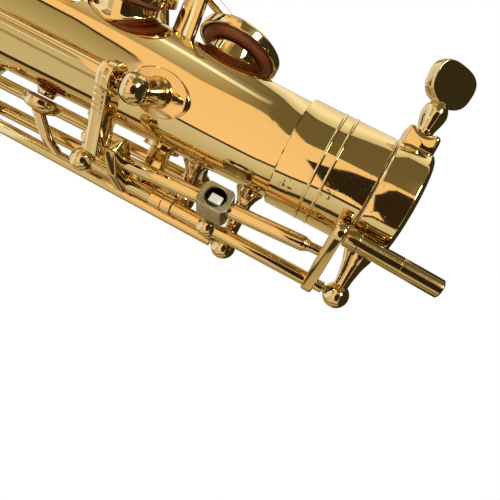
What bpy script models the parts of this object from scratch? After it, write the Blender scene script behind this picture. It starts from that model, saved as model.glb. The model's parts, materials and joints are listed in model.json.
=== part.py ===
# Soprano saxophone body: tube, bell, receiver and keywork, without neck and mouthpiece.
# It stands on its bell rim, the bore axis is +Z, the front with the finger pearls faces -Y.
# Lengths are in millimetres and are scaled to metres when an object is published.
# Heights along the tube are depths below the open end of the receiver.
# Angles run round the tube from the front (0) over the player's left (+90, +X) to the back (180).

import math

import bmesh
import bpy
from mathutils import Matrix, Vector

MM = 0.001

# Clearances
TOUCH_GAP = 0.3
PIVOT_GAP = 0.35
PAD_GAP = 0.3

# Body, bell and receiver
BODY_LENGTH = 590.0
BELL_LENGTH = 115.0
BELL_RIM_RADIUS = 45.0
BELL_FLARE_LENGTH = 18.0
BELL_RIM_BEAD = 1.6
WALL = 0.9
TUBE_TOP_RADIUS = 10.2
TUBE_TAPER = 0.024
SLEEVE_WALL = 0.8
SLEEVE_RADIUS = TUBE_TOP_RADIUS + SLEEVE_WALL
SLEEVE_LENGTH = 17.3
CLAMP_STEP = 0.4
CLAMP_RADIUS = SLEEVE_RADIUS + CLAMP_STEP
CLAMP_LENGTH = 7.5
SOCKET_STEP = 1.6
SOCKET_RADIUS = TUBE_TOP_RADIUS - SOCKET_STEP
BEAD_DEPTHS = (15.8, 18.0)
BEAD_HEIGHT = 0.25
BEAD_WIDTH = 0.8
BELL_RING_HEIGHT = 7.0
BELL_RING_THICKNESS = 1.8

# Boss on the clamp ring and neck screw
LUG_ANGLE = -4.0
LUG_DEPTH = 3.9
LUG_LENGTH = 6.6
LUG_WIDTH = 5.6
LUG_TOP = 3.1
LUG_VALLEY = 2.2
LUG_ROOT = 1.6
SCREW_SHANK_RADIUS = 1.25
SCREW_STEM_RADIUS = 2.45
SCREW_STEM_LENGTH = 5.6
SCREW_PLATE_RADIUS = 4.7
SCREW_PLATE_THICKNESS = 2.7
SCREW_PLATE_TURN = 31.6

# Rods, posts and keys in general
ROD_RADIUS = 1.5
PIVOT_RADIUS = 0.8
BALL_RADIUS = 2.65
POST_STEM_RADIUS = 1.7
POST_FOOT_RADIUS = 2.9
ARM_WIDTH = 3.2
ARM_THICKNESS = 1.8
RIB_WIDTH = 5.6
RIB_THICKNESS = 1.2
CUP_WALL = 0.7
PAD_THICKNESS = 2.2
CUP_CROWN = 1.2
PEARL_RADIUS = 3.8
PEARL_THICKNESS = 1.4
KEY_HEIGHT = 9.0
TOUCH_RISE = 0.75

# Octave pin key, a rigid frame that turns on the pin hinge
PIN_RADIUS = 1.75
PIN_REACH = 10.5
PIN_LEAN = 0.7
PIN_CLEARANCE = 0.65
PIN_ANGLE = 127.4
PIN_HINGE_ANGLE = 174.5
PIN_HINGE_HEIGHT = 9.3
PIN_BAR_DEPTH = 9.4
PIN_BAR_WIDTH = 4.4
PIN_BAR_THICKNESS = 2.3
PIN_POST_DEPTH = 3.6
HOOK_DEPTH = 53.2
HOOK_THICKNESS = 2.4
HOOK_POST_DEPTH = 63.0
UPPER_ROD_REACH = 0.42
UPPER_ROD_RISE = 2.6
UPPER_ROD_NECK = 0.95
BLOCK_DEPTH = 32.3
BLOCK_SIZE = 5.4
BLOCK_LENGTH = 6.4
BLOCK_TURN = -35.0
BLOCK_BORE_RADIUS = 2.1
BLOCK_BORE_DEPTH = 3.9
TONGUE_WIDTH = 2.5
TONGUE_THICKNESS = 1.9
COLLAR_DEPTH = 43.5
COLLAR_LENGTH = 5.0
COLLAR_STEP = 0.4

# Octave link, a rod on the left side that carries the tall lever
LINK_ANGLE = 96.5
LINK_HEIGHT = 9.9
LINK_POST_DEPTH = 49.6
LINK_STEM_RADIUS = 2.5
LINK_FOOT_LENGTH = 12.2
LINK_FOOT_WIDTH = 8.2
LINK_LOWER_DEPTH = 104.0
LEVER_PLAY = 0.65
LEVER_THICKNESS = 2.5
LEVER_DEPTH = LINK_POST_DEPTH + BALL_RADIUS + LEVER_PLAY + LEVER_THICKNESS / 2
LEVER_WIDTH = 4.7
LEVER_LENGTH = 12.2
LEVER_DIRECTION = 203.0
LEVER_BOSS_RADIUS = 2.9
LINK_ARM_DEPTH = 97.0
LINK_ARM_ANGLE = 152.0
THUMB_PLAY = 1.3

# Octave vent key on the back
VENT_ANGLE = 184.8
VENT_HEIGHT = 12.9
VENT_POST_DEPTHS = (28.7, 49.4, 92.0)
VENT_PIP_ANGLE = 172.0
VENT_PIP_DEPTH = 76.0
VENT_PIP_RADIUS = 2.2
VENT_CUP_RADIUS = 4.0
VENT_ARM_OFFSET = 6.0

# Octave thumb lever
THUMB_HINGE_DEPTH = 112.0
THUMB_HINGE_HEIGHT = 5.2
THUMB_SIDE = 7.0
THUMB_TOUCH_DEPTH = 127.0

# Small fittings on the back
THUMB_REST_DEPTH = 142.0
STRAP_RING_DEPTH = 205.0
STRAP_RING_RADIUS = 5.0
STRAP_WIRE_RADIUS = 1.3
THUMB_HOOK_DEPTH = 264.0
THUMB_HOOK_REACH = 17.0
THUMB_HOOK_WIDTH = 12.0

# Key lines: the angle round the tube and the height over the tube
STACK_LINE = (-69.0, KEY_HEIGHT)
LEFT_LINE = (75.0, KEY_HEIGHT)
SIDE_LINES = {"c": (-142.4, 9.0), "b_flat": (-163.8, 10.0)}
TABLE_LINES = {"b": (62.0, KEY_HEIGHT), "b_flat": (78.0, KEY_HEIGHT), "c_sharp": (94.0, KEY_HEIGHT)}
SIDE_POST_DEPTHS = (42.0, 250.0)
TABLE_POST_DEPTHS = (207.0, 464.0)
UPPER_POST_DEPTHS = (31.5, 55.0, 77.2, 101.0, 124.0, 145.2, 167.4, 191.5)
LOWER_POST_DEPTHS = (201.5, 232.0, 266.0, 298.0, 328.0, 365.0)
LEFT_POST_DEPTHS = (170.5, 194.0)

# Keys: place on the hinge line, cup (angle, depth, hole radius, chimney height, pad radius),
# the angle it stands open at rest, and its touch
# (angle, depth, height over the tube, length, width; a touch without length and width holds a pearl)
UPPER_KEYS = {
    "high_f_key": (0, (-19.4, 44.2, 4.95, 1.75, 7.9), 0.0, (-104.0, 44.2, 12.0, 12.0, 7.0)),
    "high_e_flat_key": (1, (17.0, 65.5, 5.2, 1.6, 7.9), 0.0, (-104.0, 65.5, 12.0, 12.0, 7.0)),
    "high_d_key": (2, (29.0, 82.5, 4.6, 1.6, 6.8), 0.0, (-104.0, 89.0, 12.0, 12.0, 7.0)),
    "c_key": (3, (-12.0, 112.5, 5.4, 1.4, 7.6), 5.0, None),
    "b_key": (4, (-12.0, 134.6, 5.6, 1.4, 7.8), 5.0, (22.0, 128.8, 12.5)),
    "a_key": (5, (-12.0, 156.3, 5.9, 1.4, 8.1), 5.0, (22.0, 150.4, 12.5)),
    "g_key": (6, (-12.0, 179.4, 6.4, 1.4, 8.6), 5.0, (22.0, 172.4, 12.5)),
}
LOWER_KEYS = {
    "f_key": (0, (-12.0, 215.0, 7.8, 1.6, 10.2), 5.0, (22.0, 206.6, 13.5)),
    "e_key": (1, (-12.0, 249.0, 8.4, 1.6, 10.8), 5.0, (22.0, 237.2, 13.5)),
    "d_key": (2, (-12.0, 282.0, 9.0, 1.6, 11.4), 5.0, (22.0, 271.2, 13.5)),
    "e_flat_key": (3, (-120.0, 313.0, 9.0, 1.6, 11.4), 0.0, (-22.0, 313.0, 13.0, 13.0, 8.0)),
    "low_c_key": (4, (-12.0, 347.0, 10.4, 1.8, 13.0), 5.0, (-24.0, 332.8, 14.0, 8.0, 7.0)),
}
LEFT_KEYS = {
    "g_sharp_key": (0, (120.0, 182.0, 5.6, 1.2, 7.6), 0.0, (46.0, 182.0, 12.0, 12.0, 8.0)),
}
SIDE_KEYS = {
    "side_c_key": ("c", (-108.0, 120.0, 4.2, 1.2, 6.0), 0.0, (-170.0, 232.0, 16.0, 16.0, 6.0)),
    "side_b_flat_key": ("b_flat", (-192.0, 157.5, 4.4, 1.2, 6.2), 0.0, (-126.0, 210.0, 19.0, 16.0, 6.0)),
}
TABLE_KEYS = {
    "low_c_sharp_key": ("c_sharp", (135.0, 380.0, 10.2, 1.8, 12.8), 0.0, (74.0, 250.0, 16.0, 12.0, 8.0)),
    "low_b_key": ("b", (18.0, 402.0, 11.0, 1.8, 13.6), 5.0, (42.0, 218.0, 12.0, 12.0, 8.0)),
    "low_b_flat_key": ("b_flat", (20.0, 443.0, 11.6, 1.8, 14.2), 5.0, (58.0, 234.0, 16.0, 12.0, 8.0)),
}
ARCHED_KEYS = ("low_b_flat_key",)
ARCH_HEIGHT = 9.0
PADDED_KEYS = ("high_f_key", "high_e_flat_key")
SPINE_KEY = "high_f_key"
SPINE_END = (-4.0, 53.0, 8.6)
GUIDE_STEMS = ((14.0, 52.2), (2.0, 55.4))
GUIDE_HEIGHT = 11.6
GUIDE_RADIUS = 1.4

# Facets
TUBE_SIDES = 32
BELL_SIDES = 28
ROD_SIDES = 8
CUP_SIDES = 12
HOLE_SIDES = 6
CUTTER_SIDES = 48
BALL_RINGS = 4
WELD = 0.002
FLAT_ANGLE = 0.0005
BELL_RINGS = 7

SLEEVE_END = CLAMP_LENGTH + SLEEVE_LENGTH
CUP_FACE = 0.9
UP = Vector((0.0, 0.0, 1.0))


# Places on the instrument

def level(depth):
    return BODY_LENGTH - depth


def tube_radius(depth):
    return TUBE_TOP_RADIUS + TUBE_TAPER * (depth - SLEEVE_END)


def polar(angle, radius, depth):
    turn = math.radians(angle)
    return Vector((radius * math.sin(turn), -radius * math.cos(turn), level(depth)))


def outward(angle):
    turn = math.radians(angle)
    return Vector((math.sin(turn), -math.cos(turn), 0.0))


def around(angle):
    turn = math.radians(angle)
    return Vector((math.cos(turn), math.sin(turn), 0.0))


def flat(point):
    return Vector((point.x, point.y, 0.0))


def line_point(line, depth):
    angle, height = line
    return polar(angle, tube_radius(depth) + height, depth)


def straight_line(angle, radius):
    return lambda depth: polar(angle, radius, depth)


# Solids

def solid(verts, faces):
    mesh = bpy.data.meshes.new("solid")
    work = bmesh.new()
    points = [work.verts.new(v) for v in verts]
    for face in faces:
        work.faces.new([points[i] for i in face])
    bmesh.ops.recalc_face_normals(work, faces=work.faces)
    work.to_mesh(mesh)
    work.free()
    obj = bpy.data.objects.new("solid", mesh)
    bpy.context.collection.objects.link(obj)
    return obj


def side_axes(axis):
    axis = axis.normalized()
    start = UP if abs(axis.z) < 0.9 else Vector((1.0, 0.0, 0.0))
    first = start.cross(axis).normalized()
    return axis, first, axis.cross(first)


def turned(profile, base, axis, sides=ROD_SIDES):
    # A turned solid: profile points are (radius, distance along the axis)
    axis, first, second = side_axes(axis)
    verts = []
    rings = []
    for radius, along in profile:
        centre = base + axis * along
        if radius < 1e-6:
            rings.append([len(verts)])
            verts.append(centre)
            continue
        ring = []
        for step in range(sides):
            turn = 2.0 * math.pi * step / sides
            ring.append(len(verts))
            verts.append(centre + first * (radius * math.cos(turn)) + second * (radius * math.sin(turn)))
        rings.append(ring)
    pairs = list(zip(rings, rings[1:]))
    if len(rings[0]) > 1:
        pairs.append((rings[-1], rings[0]))
    faces = []
    for low, high in pairs:
        for step in range(sides):
            after = (step + 1) % sides
            if len(low) == 1:
                faces.append((low[0], high[step], high[after]))
            elif len(high) == 1:
                faces.append((low[step], high[0], low[after]))
            else:
                faces.append((low[step], high[step], high[after], low[after]))
    return solid(verts, faces)


def rod(start, end, radius, sides=ROD_SIDES):
    axis = end - start
    length = axis.length
    return turned([(0, 0), (radius, 0), (radius, length), (0, length)], start, axis, sides)


def ball(centre, radius, axis=UP, sides=ROD_SIDES):
    profile = []
    for step in range(BALL_RINGS + 1):
        turn = math.pi * step / BALL_RINGS
        profile.append((radius * math.sin(turn), -radius * math.cos(turn)))
    profile[0] = (0.0, -radius)
    profile[-1] = (0.0, radius)
    return turned(profile, centre, axis, sides)


def prism(outline, lower, upper):
    # A flat plate: an outline of corner points, shifted along two offsets
    count = len(outline)
    verts = [Vector(p) + lower for p in outline] + [Vector(p) + upper for p in outline]
    faces = [tuple(range(count)), tuple(range(2 * count - 1, count - 1, -1))]
    for step in range(count):
        after = (step + 1) % count
        faces.append((step, after, count + after, count + step))
    return solid(verts, faces)


def bar(start, end, across, width, thickness):
    # A straight bar whose width lies along one direction
    along = (end - start).normalized()
    across = (across - along * across.dot(along)).normalized()
    normal = along.cross(across)
    half = across * (width / 2)
    outline = [start - half, end - half, end + half, start + half]
    return prism(outline, normal * (-thickness / 2), normal * (thickness / 2))


def rounded_bar(start, end, normal, width, thickness, corner_steps=4):
    # A straight bar with round ends in the plane square to the normal
    along = (end - start).normalized()
    across = normal.cross(along).normalized()
    radius = width / 2
    outline = []
    for centre, turn_start in ((end, -90.0), (start, 90.0)):
        for step in range(corner_steps + 1):
            turn = math.radians(turn_start + 180.0 * step / corner_steps)
            outline.append(centre + along * (radius * math.cos(turn)) + across * (radius * math.sin(turn)))
    half = normal.normalized() * (thickness / 2)
    return prism(outline, -half, half)


def oval(centre, long_axis, cross_axis, length, width, thickness, steps=18):
    outline = []
    for step in range(steps):
        turn = 2.0 * math.pi * step / steps
        outline.append(centre + long_axis * (length / 2 * math.cos(turn))
                       + cross_axis * (width / 2 * math.sin(turn)))
    half = long_axis.cross(cross_axis).normalized() * (thickness / 2)
    return prism(outline, -half, half)


def boolean(target, tool, operation):
    modifier = target.modifiers.new("boolean", "BOOLEAN")
    modifier.operation = operation
    modifier.object = tool
    modifier.solver = "EXACT"
    bpy.context.view_layer.update()
    graph = bpy.context.evaluated_depsgraph_get()
    mesh = bpy.data.meshes.new_from_object(target.evaluated_get(graph))
    target.modifiers.clear()
    target.data = mesh
    bpy.data.objects.remove(tool)
    work = bmesh.new()
    work.from_mesh(mesh)
    bmesh.ops.remove_doubles(work, verts=work.verts, dist=WELD)
    bmesh.ops.dissolve_degenerate(work, edges=work.edges, dist=WELD)
    bmesh.ops.dissolve_limit(work, angle_limit=FLAT_ANGLE, verts=work.verts, edges=work.edges)
    work.to_mesh(mesh)
    work.free()
    return target


def join(pieces):
    target = pieces[0]
    for piece in pieces[1:]:
        boolean(target, piece, "UNION")
    return target


def cut(target, cutters):
    for cutter in cutters:
        boolean(target, cutter, "DIFFERENCE")
    return target


def tube_cutter(top, bottom, clearance=TOUCH_GAP):
    # The space that the tube takes up between two depths, with a clearance round it
    widen = 1.0 / math.cos(math.pi / CUTTER_SIDES)
    high = (tube_radius(top) + clearance) * widen
    low = (tube_radius(bottom) + clearance) * widen
    profile = [(0, 0), (low, 0), (high, bottom - top), (0, bottom - top)]
    return turned(profile, Vector((0, 0, level(bottom))), UP, CUTTER_SIDES)


# Materials and publishing

def make_material(name, colour, roughness, metallic):
    material = bpy.data.materials.new(name)
    material.use_nodes = True
    shader = material.node_tree.nodes["Principled BSDF"]
    shader.inputs["Base Color"].default_value = (*colour, 1.0)
    shader.inputs["Roughness"].default_value = roughness
    shader.inputs["Metallic"].default_value = metallic
    return material


def make_pivot(name, point, axis):
    empty = bpy.data.objects.new(name, None)
    bpy.context.collection.objects.link(empty)
    empty.rotation_mode = "QUATERNION"
    empty.rotation_quaternion = UP.rotation_difference(axis.normalized())
    empty.location = point * MM
    empty.empty_display_size = 0.01
    bpy.context.view_layer.update()
    return empty


def publish(obj, name, material, pivot=None):
    obj.name = name
    mesh = obj.data
    mesh.name = name
    mesh.transform(Matrix.Scale(MM, 4))
    if pivot is not None:
        mesh.transform(pivot.matrix_world.inverted())
        obj.parent = pivot
    mesh.materials.clear()
    mesh.materials.append(material)
    mesh.shade_smooth()
    mesh.set_sharp_from_angle(angle=math.radians(35.0))
    return obj


# Posts and hinge tubes

def post_pieces(foot_angle, depth, head, stem_radius=POST_STEM_RADIUS):
    # A stem from inside the tube surface to a ball head
    base = polar(foot_angle, tube_radius(depth) - 1.5, depth)
    axis = head - base
    length = axis.length
    profile = [(0, 0), (POST_FOOT_RADIUS, 0), (POST_FOOT_RADIUS, 2.3), (stem_radius, 4.4),
               (stem_radius * 0.85, length - BALL_RADIUS * 0.5), (0, length - BALL_RADIUS * 0.5)]
    return [turned(profile, base, axis), ball(head, BALL_RADIUS, axis)]


def pivot_hole(head, axis):
    reach = axis.normalized() * (BALL_RADIUS * 2.0)
    return rod(head - reach, head + reach, PIVOT_RADIUS + PIVOT_GAP, HOLE_SIDES)


def single_post(name, angle, depth, head, axis, material):
    post = join(post_pieces(angle, depth, head))
    cut(post, [tube_cutter(depth - 12.0, depth + 12.0), pivot_hole(head, axis)])
    return publish(post, name, material)


def hinge_tube(point, top, bottom, radius=ROD_RADIUS):
    # A key tube between two post depths, with a pivot tip that enters each ball
    room = BALL_RADIUS + TOUCH_GAP
    low, high = point(bottom), point(top)
    axis = (high - low).normalized()
    return turned([(0, BALL_RADIUS * 0.4), (PIVOT_RADIUS, BALL_RADIUS * 0.4), (PIVOT_RADIUS, room),
                   (radius, room), (radius, (high - low).length - room),
                   (PIVOT_RADIUS, (high - low).length - room),
                   (PIVOT_RADIUS, (high - low).length - BALL_RADIUS * 0.4),
                   (0, (high - low).length - BALL_RADIUS * 0.4)], low, axis)


def rib(name, line, depths, material):
    # A strip on the tube that carries a row of posts
    angle = line[0]
    margin = 4.5
    top, bottom = depths[0] - margin, depths[-1] + margin
    first = polar(angle, tube_radius(top), top)
    last = polar(angle, tube_radius(bottom), bottom)
    strip = bar(first, last, around(angle), RIB_WIDTH, 2.0 * RIB_THICKNESS)
    pieces = [strip]
    axis = line_point(line, depths[0]) - line_point(line, depths[-1])
    for depth in depths:
        pieces += post_pieces(angle, depth, line_point(line, depth))
    whole = join(pieces)
    holes = [pivot_hole(line_point(line, depth), axis) for depth in depths]
    cut(whole, [tube_cutter(top - 5.0, bottom + 5.0)] + holes)
    return publish(whole, name, material)


def bridge_post(name, lines, depth, far_depth, material):
    # One foot plate that carries the posts of several parallel tubes
    angles = [line[0] for line in lines]
    middle = sum(angles) / len(angles)
    spread = math.radians(max(angles) - min(angles))
    radius = tube_radius(depth)
    width = 2.0 * radius * math.sin(spread / 2) + 2.2 * POST_FOOT_RADIUS
    sagitta = radius * (1.0 - math.cos(spread / 2)) + 2.0
    centre = polar(middle, radius + RIB_THICKNESS - sagitta / 2, depth)
    plate = bar(centre - UP * RIB_WIDTH / 2, centre + UP * RIB_WIDTH / 2, around(middle), width, sagitta)
    pieces = [plate]
    holes = []
    for line in lines:
        head = line_point(line, depth)
        pieces += post_pieces(line[0], depth, head)
        holes.append(pivot_hole(head, head - line_point(line, far_depth)))
    whole = join(pieces)
    cut(whole, [tube_cutter(depth - 12.0, depth + 12.0)] + holes)
    return publish(whole, name, material)


# Key cups, pads and touches

def cup_heights(chimney):
    # Distances over the tube surface: pad face, pad top, cup ceiling and cup crown
    face = chimney + PAD_GAP
    top = face + PAD_THICKNESS
    ceiling = top + TOUCH_GAP
    return face, top, ceiling, ceiling + CUP_WALL


def cup_radius(pad):
    return pad + TOUCH_GAP + CUP_WALL


def make_cup(cup):
    angle, depth, hole, chimney, pad = cup
    face, top, ceiling, crown = cup_heights(chimney)
    cavity = pad + TOUCH_GAP
    outer = cavity + CUP_WALL
    rim = face + CUP_FACE
    profile = [(0, ceiling), (cavity, ceiling), (cavity, rim), (outer, rim), (outer, ceiling),
               (outer * 0.72, crown + CUP_CROWN * 0.6), (0, crown + CUP_CROWN)]
    return turned(profile, polar(angle, tube_radius(depth), depth), outward(angle), CUP_SIDES)


def make_pad(cup):
    angle, depth, hole, chimney, radius = cup
    face, top, ceiling, crown = cup_heights(chimney)
    profile = [(0, face), (radius * 0.9, face), (radius, face + PAD_THICKNESS * 0.3), (radius, top), (0, top)]
    return turned(profile, polar(angle, tube_radius(depth), depth), outward(angle), CUP_SIDES)


def cup_arm(point, cup, arched):
    # From the hinge up over the cup's edge, then flat to the middle of its crown
    angle, depth, hole, chimney, pad = cup
    hinge = point(depth)
    crown = cup_heights(chimney)[3]
    side = 1.0 if around(angle).dot(hinge) > 0 else -1.0
    edge = cup_radius(pad) + 1.2
    centre = polar(angle, tube_radius(depth) + crown + CUP_CROWN * 0.55, depth)
    elbow = centre + around(angle) * (side * edge)
    path = [hinge, elbow, centre]
    if arched:
        out = Vector((hinge.x, hinge.y, 0.0)).normalized()
        lift = hinge + out * ARCH_HEIGHT
        reach = elbow + outward(angle) * ARCH_HEIGHT * 0.5
        path = [hinge, lift, reach, elbow, centre]
    pieces = []
    for start, end in zip(path, path[1:]):
        step = (end - start).normalized() * (ARM_THICKNESS * 0.45)
        pieces.append(bar(start, end + step, UP, ARM_WIDTH, ARM_THICKNESS))
    return pieces


def touch_pieces(point, touch):
    # A round holder for a pearl, or an oblong plate, on an arm from the hinge tube
    angle, depth, height = touch[:3]
    centre = polar(angle, tube_radius(depth) + height, depth)
    hinge = point(depth)
    out = flat(hinge).normalized()
    lift = hinge + out * (TOUCH_RISE * (tube_radius(depth) + height - flat(hinge).length))
    riser = bar(hinge, lift + out * (ARM_THICKNESS * 0.45), UP, ARM_WIDTH, ARM_THICKNESS)
    arm = bar(lift, centre, UP, ARM_WIDTH, ARM_THICKNESS)
    if len(touch) == 3:
        radius = PEARL_RADIUS + TOUCH_GAP + CUP_WALL
        holder = turned([(0, -0.9), (radius, -0.9), (radius, 1.5), (radius - CUP_WALL, 1.5),
                         (radius - CUP_WALL, 0.9), (0, 0.9)], centre, outward(angle), CUP_SIDES)
        return [riser, arm, holder]
    length, width = touch[3:]
    plate = oval(centre, UP, around(angle), length, width, ARM_THICKNESS * 0.9, 12)
    return [riser, arm, plate]


def spine_pieces(cup):
    # A flat spine from the crown of the cup down along the tube
    angle, depth, hole, chimney, pad = cup
    crown = polar(angle, tube_radius(depth) + cup_heights(chimney)[3] + CUP_CROWN * 0.8, depth)
    end_angle, end_depth, height = SPINE_END
    end = polar(end_angle, tube_radius(end_depth) + height, end_depth)
    return [bar(crown, end, around(angle), ARM_WIDTH, ARM_THICKNESS)]


def make_pearl(touch):
    angle, depth, height = touch[:3]
    base = polar(angle, tube_radius(depth) + height + 0.9 + TOUCH_GAP, depth)
    profile = [(0, 0), (PEARL_RADIUS, 0), (PEARL_RADIUS, PEARL_THICKNESS * 0.6),
               (PEARL_RADIUS * 0.6, PEARL_THICKNESS), (0, PEARL_THICKNESS * 1.1)]
    return turned(profile, base, outward(angle), 14)


def opening_turn(point, axis, cup, degrees):
    # The turn about the hinge that lifts the cup off its hole
    hinge = point(cup[1])
    centre = polar(cup[0], tube_radius(cup[1]) + cup[3], cup[1])
    lifted = axis.cross(centre - hinge).dot(outward(cup[0]))
    sign = 1.0 if lifted > 0 else -1.0
    turn = Matrix.Rotation(math.radians(degrees) * sign, 4, axis)
    return Matrix.Translation(hinge) @ turn @ Matrix.Translation(-hinge)


def make_key(name, line, ends, cup, open_angle, touch, materials):
    point = lambda depth: line_point(line, depth)
    axis = (point(ends[0]) - point(ends[1])).normalized()
    pieces = [hinge_tube(point, ends[0], ends[1])]
    pieces += cup_arm(point, cup, name in ARCHED_KEYS)
    pieces.append(make_cup(cup))
    if touch is not None:
        pieces += touch_pieces(point, touch)
    if name == SPINE_KEY:
        pieces += spine_pieces(cup)
    turn = opening_turn(point, axis, cup, open_angle)
    pivot = make_pivot(name + "_pivot", point(cup[1]), axis)
    key = join(pieces)
    key.data.transform(turn)
    publish(key, name, materials["brass"], pivot)
    stem = name[:-4]
    if name in PADDED_KEYS:
        pad = make_pad(cup)
        pad.data.transform(turn)
        publish(pad, stem + "_pad", materials["leather"], pivot)
    if name in UPPER_KEYS and touch is not None and len(touch) == 3:
        pearl = make_pearl(touch)
        pearl.data.transform(turn)
        publish(pearl, stem + "_pearl", materials["pearl"], pivot)


# Body tube, bell and receiver

def all_cups():
    groups = (UPPER_KEYS, LOWER_KEYS, LEFT_KEYS, SIDE_KEYS, TABLE_KEYS)
    return [spec[1] for group in groups for spec in group.values()]


def bell_radius(height):
    throat = tube_radius(level(BELL_LENGTH))
    straight = throat + TUBE_TAPER * (BELL_LENGTH - height)
    mouth = throat + TUBE_TAPER * BELL_LENGTH
    flare = BELL_RIM_RADIUS - BELL_RIM_BEAD - mouth
    return straight + flare * math.exp(-height / BELL_FLARE_LENGTH)


def build_bell(materials):
    heights = [BELL_LENGTH * (step / BELL_RINGS) ** 1.7 for step in range(BELL_RINGS, 0, -1)]
    outside = [(bell_radius(h), h) for h in heights]
    bead = BELL_RIM_BEAD
    rim = BELL_RIM_RADIUS
    roll = [(rim - bead * 0.9, bead * 1.9), (rim - bead * 0.2, bead * 1.5), (rim, bead * 0.8),
            (rim - bead * 0.3, 0.0), (rim - bead * 2.2, 0.0)]
    inside = [(r - WALL, h) for r, h in reversed(outside)]
    profile = outside[:-1] + roll + inside[1:]
    bell = turned(profile, Vector((0, 0, 0)), UP, BELL_SIDES)
    publish(bell, "bell", materials["brass"])


def build_bell_ring(materials):
    depth = level(BELL_LENGTH)
    inner = tube_radius(depth + BELL_RING_HEIGHT) + TOUCH_GAP * 2
    outer = inner + BELL_RING_THICKNESS
    half = BELL_RING_HEIGHT / 2
    profile = [(inner, -half), (outer - 0.6, -half), (outer, -half * 0.5), (outer, half * 0.5),
               (outer - 0.6, half), (inner, half)]
    ring = turned(profile, Vector((0, 0, BELL_LENGTH)), UP, BELL_SIDES)
    publish(ring, "bell_ring", materials["brass"])


def build_body_tube(materials):
    top = CLAMP_LENGTH + TOUCH_GAP + 1.0
    bottom = level(BELL_LENGTH + TOUCH_GAP)
    outer = turned([(0, 0), (tube_radius(bottom), 0), (tube_radius(top), bottom - top), (0, bottom - top)],
                   Vector((0, 0, level(bottom))), UP, TUBE_SIDES)
    bore_profile = [(0, -2), (tube_radius(bottom) - WALL, -2), (tube_radius(top) - WALL, bottom - top + 2),
                    (0, bottom - top + 2)]
    bore = turned(bore_profile, Vector((0, 0, level(bottom))), UP, TUBE_SIDES)
    chimneys = []
    holes = []
    vent = (VENT_PIP_ANGLE, VENT_PIP_DEPTH, VENT_PIP_RADIUS * 0.4, 1.4, VENT_PIP_RADIUS)
    for angle, depth, hole, chimney, pad in all_cups() + [vent]:
        radius = tube_radius(depth)
        along = outward(angle)
        axis_point = Vector((0, 0, level(depth)))
        sides = CUP_SIDES if hole > 3.0 else ROD_SIDES
        rim = axis_point + along * (radius + chimney)
        chimneys.append(rod(axis_point + along * (radius * 0.5), rim, hole + WALL, sides))
        holes.append(rod(axis_point + along * (radius * 0.3), rim + along * 6.0, hole, sides))
    tube = join([outer] + chimneys)
    cut(tube, [bore] + holes)
    publish(tube, "body_tube", materials["brass"])


def build_receiver(materials):
    top = CLAMP_LENGTH + TOUCH_GAP
    inner_top = tube_radius(top) + TOUCH_GAP
    inner_end = tube_radius(SLEEVE_END) + TOUCH_GAP
    outside = [(SLEEVE_RADIUS - 0.15, SLEEVE_END), (SLEEVE_RADIUS, SLEEVE_END - 0.2)]
    for depth in sorted(BEAD_DEPTHS, reverse=True):
        half = BEAD_WIDTH / 2
        outside += [(SLEEVE_RADIUS, depth + half), (SLEEVE_RADIUS + BEAD_HEIGHT, depth),
                    (SLEEVE_RADIUS, depth - half)]
    outside += [(SLEEVE_RADIUS, top)]
    profile = outside + [(inner_top, top), (inner_end, SLEEVE_END)]
    flipped = [(radius, level(depth)) for radius, depth in profile]
    sleeve = turned(flipped, Vector((0, 0, 0)), UP, TUBE_SIDES)
    publish(sleeve, "receiver_sleeve", materials["brass"])


def lug_frame():
    # The middle of the boss on the ring, the way the screw points and the way round the ring
    return polar(LUG_ANGLE, CLAMP_RADIUS, LUG_DEPTH), outward(LUG_ANGLE), around(LUG_ANGLE)


def build_clamp_ring(materials):
    profile = [(SOCKET_RADIUS, CLAMP_LENGTH), (CLAMP_RADIUS, CLAMP_LENGTH), (CLAMP_RADIUS, 0.9),
               (CLAMP_RADIUS - 0.3, 0.25), (CLAMP_RADIUS - 0.9, 0.0), (SOCKET_RADIUS + 0.4, 0.0),
               (SOCKET_RADIUS, 0.4)]
    ring = turned([(r, level(d)) for r, d in profile], Vector((0, 0, 0)), UP, TUBE_SIDES)
    centre, out, along = lug_frame()
    half = LUG_LENGTH / 2
    lobes = [(-1.0, -LUG_ROOT), (1.0, -LUG_ROOT), (1.0, LUG_TOP * 0.75), (0.82, LUG_TOP),
             (0.58, LUG_TOP), (0.3, LUG_VALLEY), (-0.3, LUG_VALLEY), (-0.58, LUG_TOP),
             (-0.82, LUG_TOP), (-1.0, LUG_TOP * 0.75)]
    outline = [centre + UP * (half * s) + out * h for s, h in lobes]
    side = along * (LUG_WIDTH / 2)
    boss = prism(outline, -side, side)
    join([ring, boss])
    wall = CLAMP_RADIUS - SOCKET_RADIUS
    cut(ring, [rod(centre - out * (wall * 2), centre + out * (LUG_TOP * 2),
                   SCREW_SHANK_RADIUS + PIVOT_GAP, 12)])
    publish(ring, "clamp_ring", materials["brass"])


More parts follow.
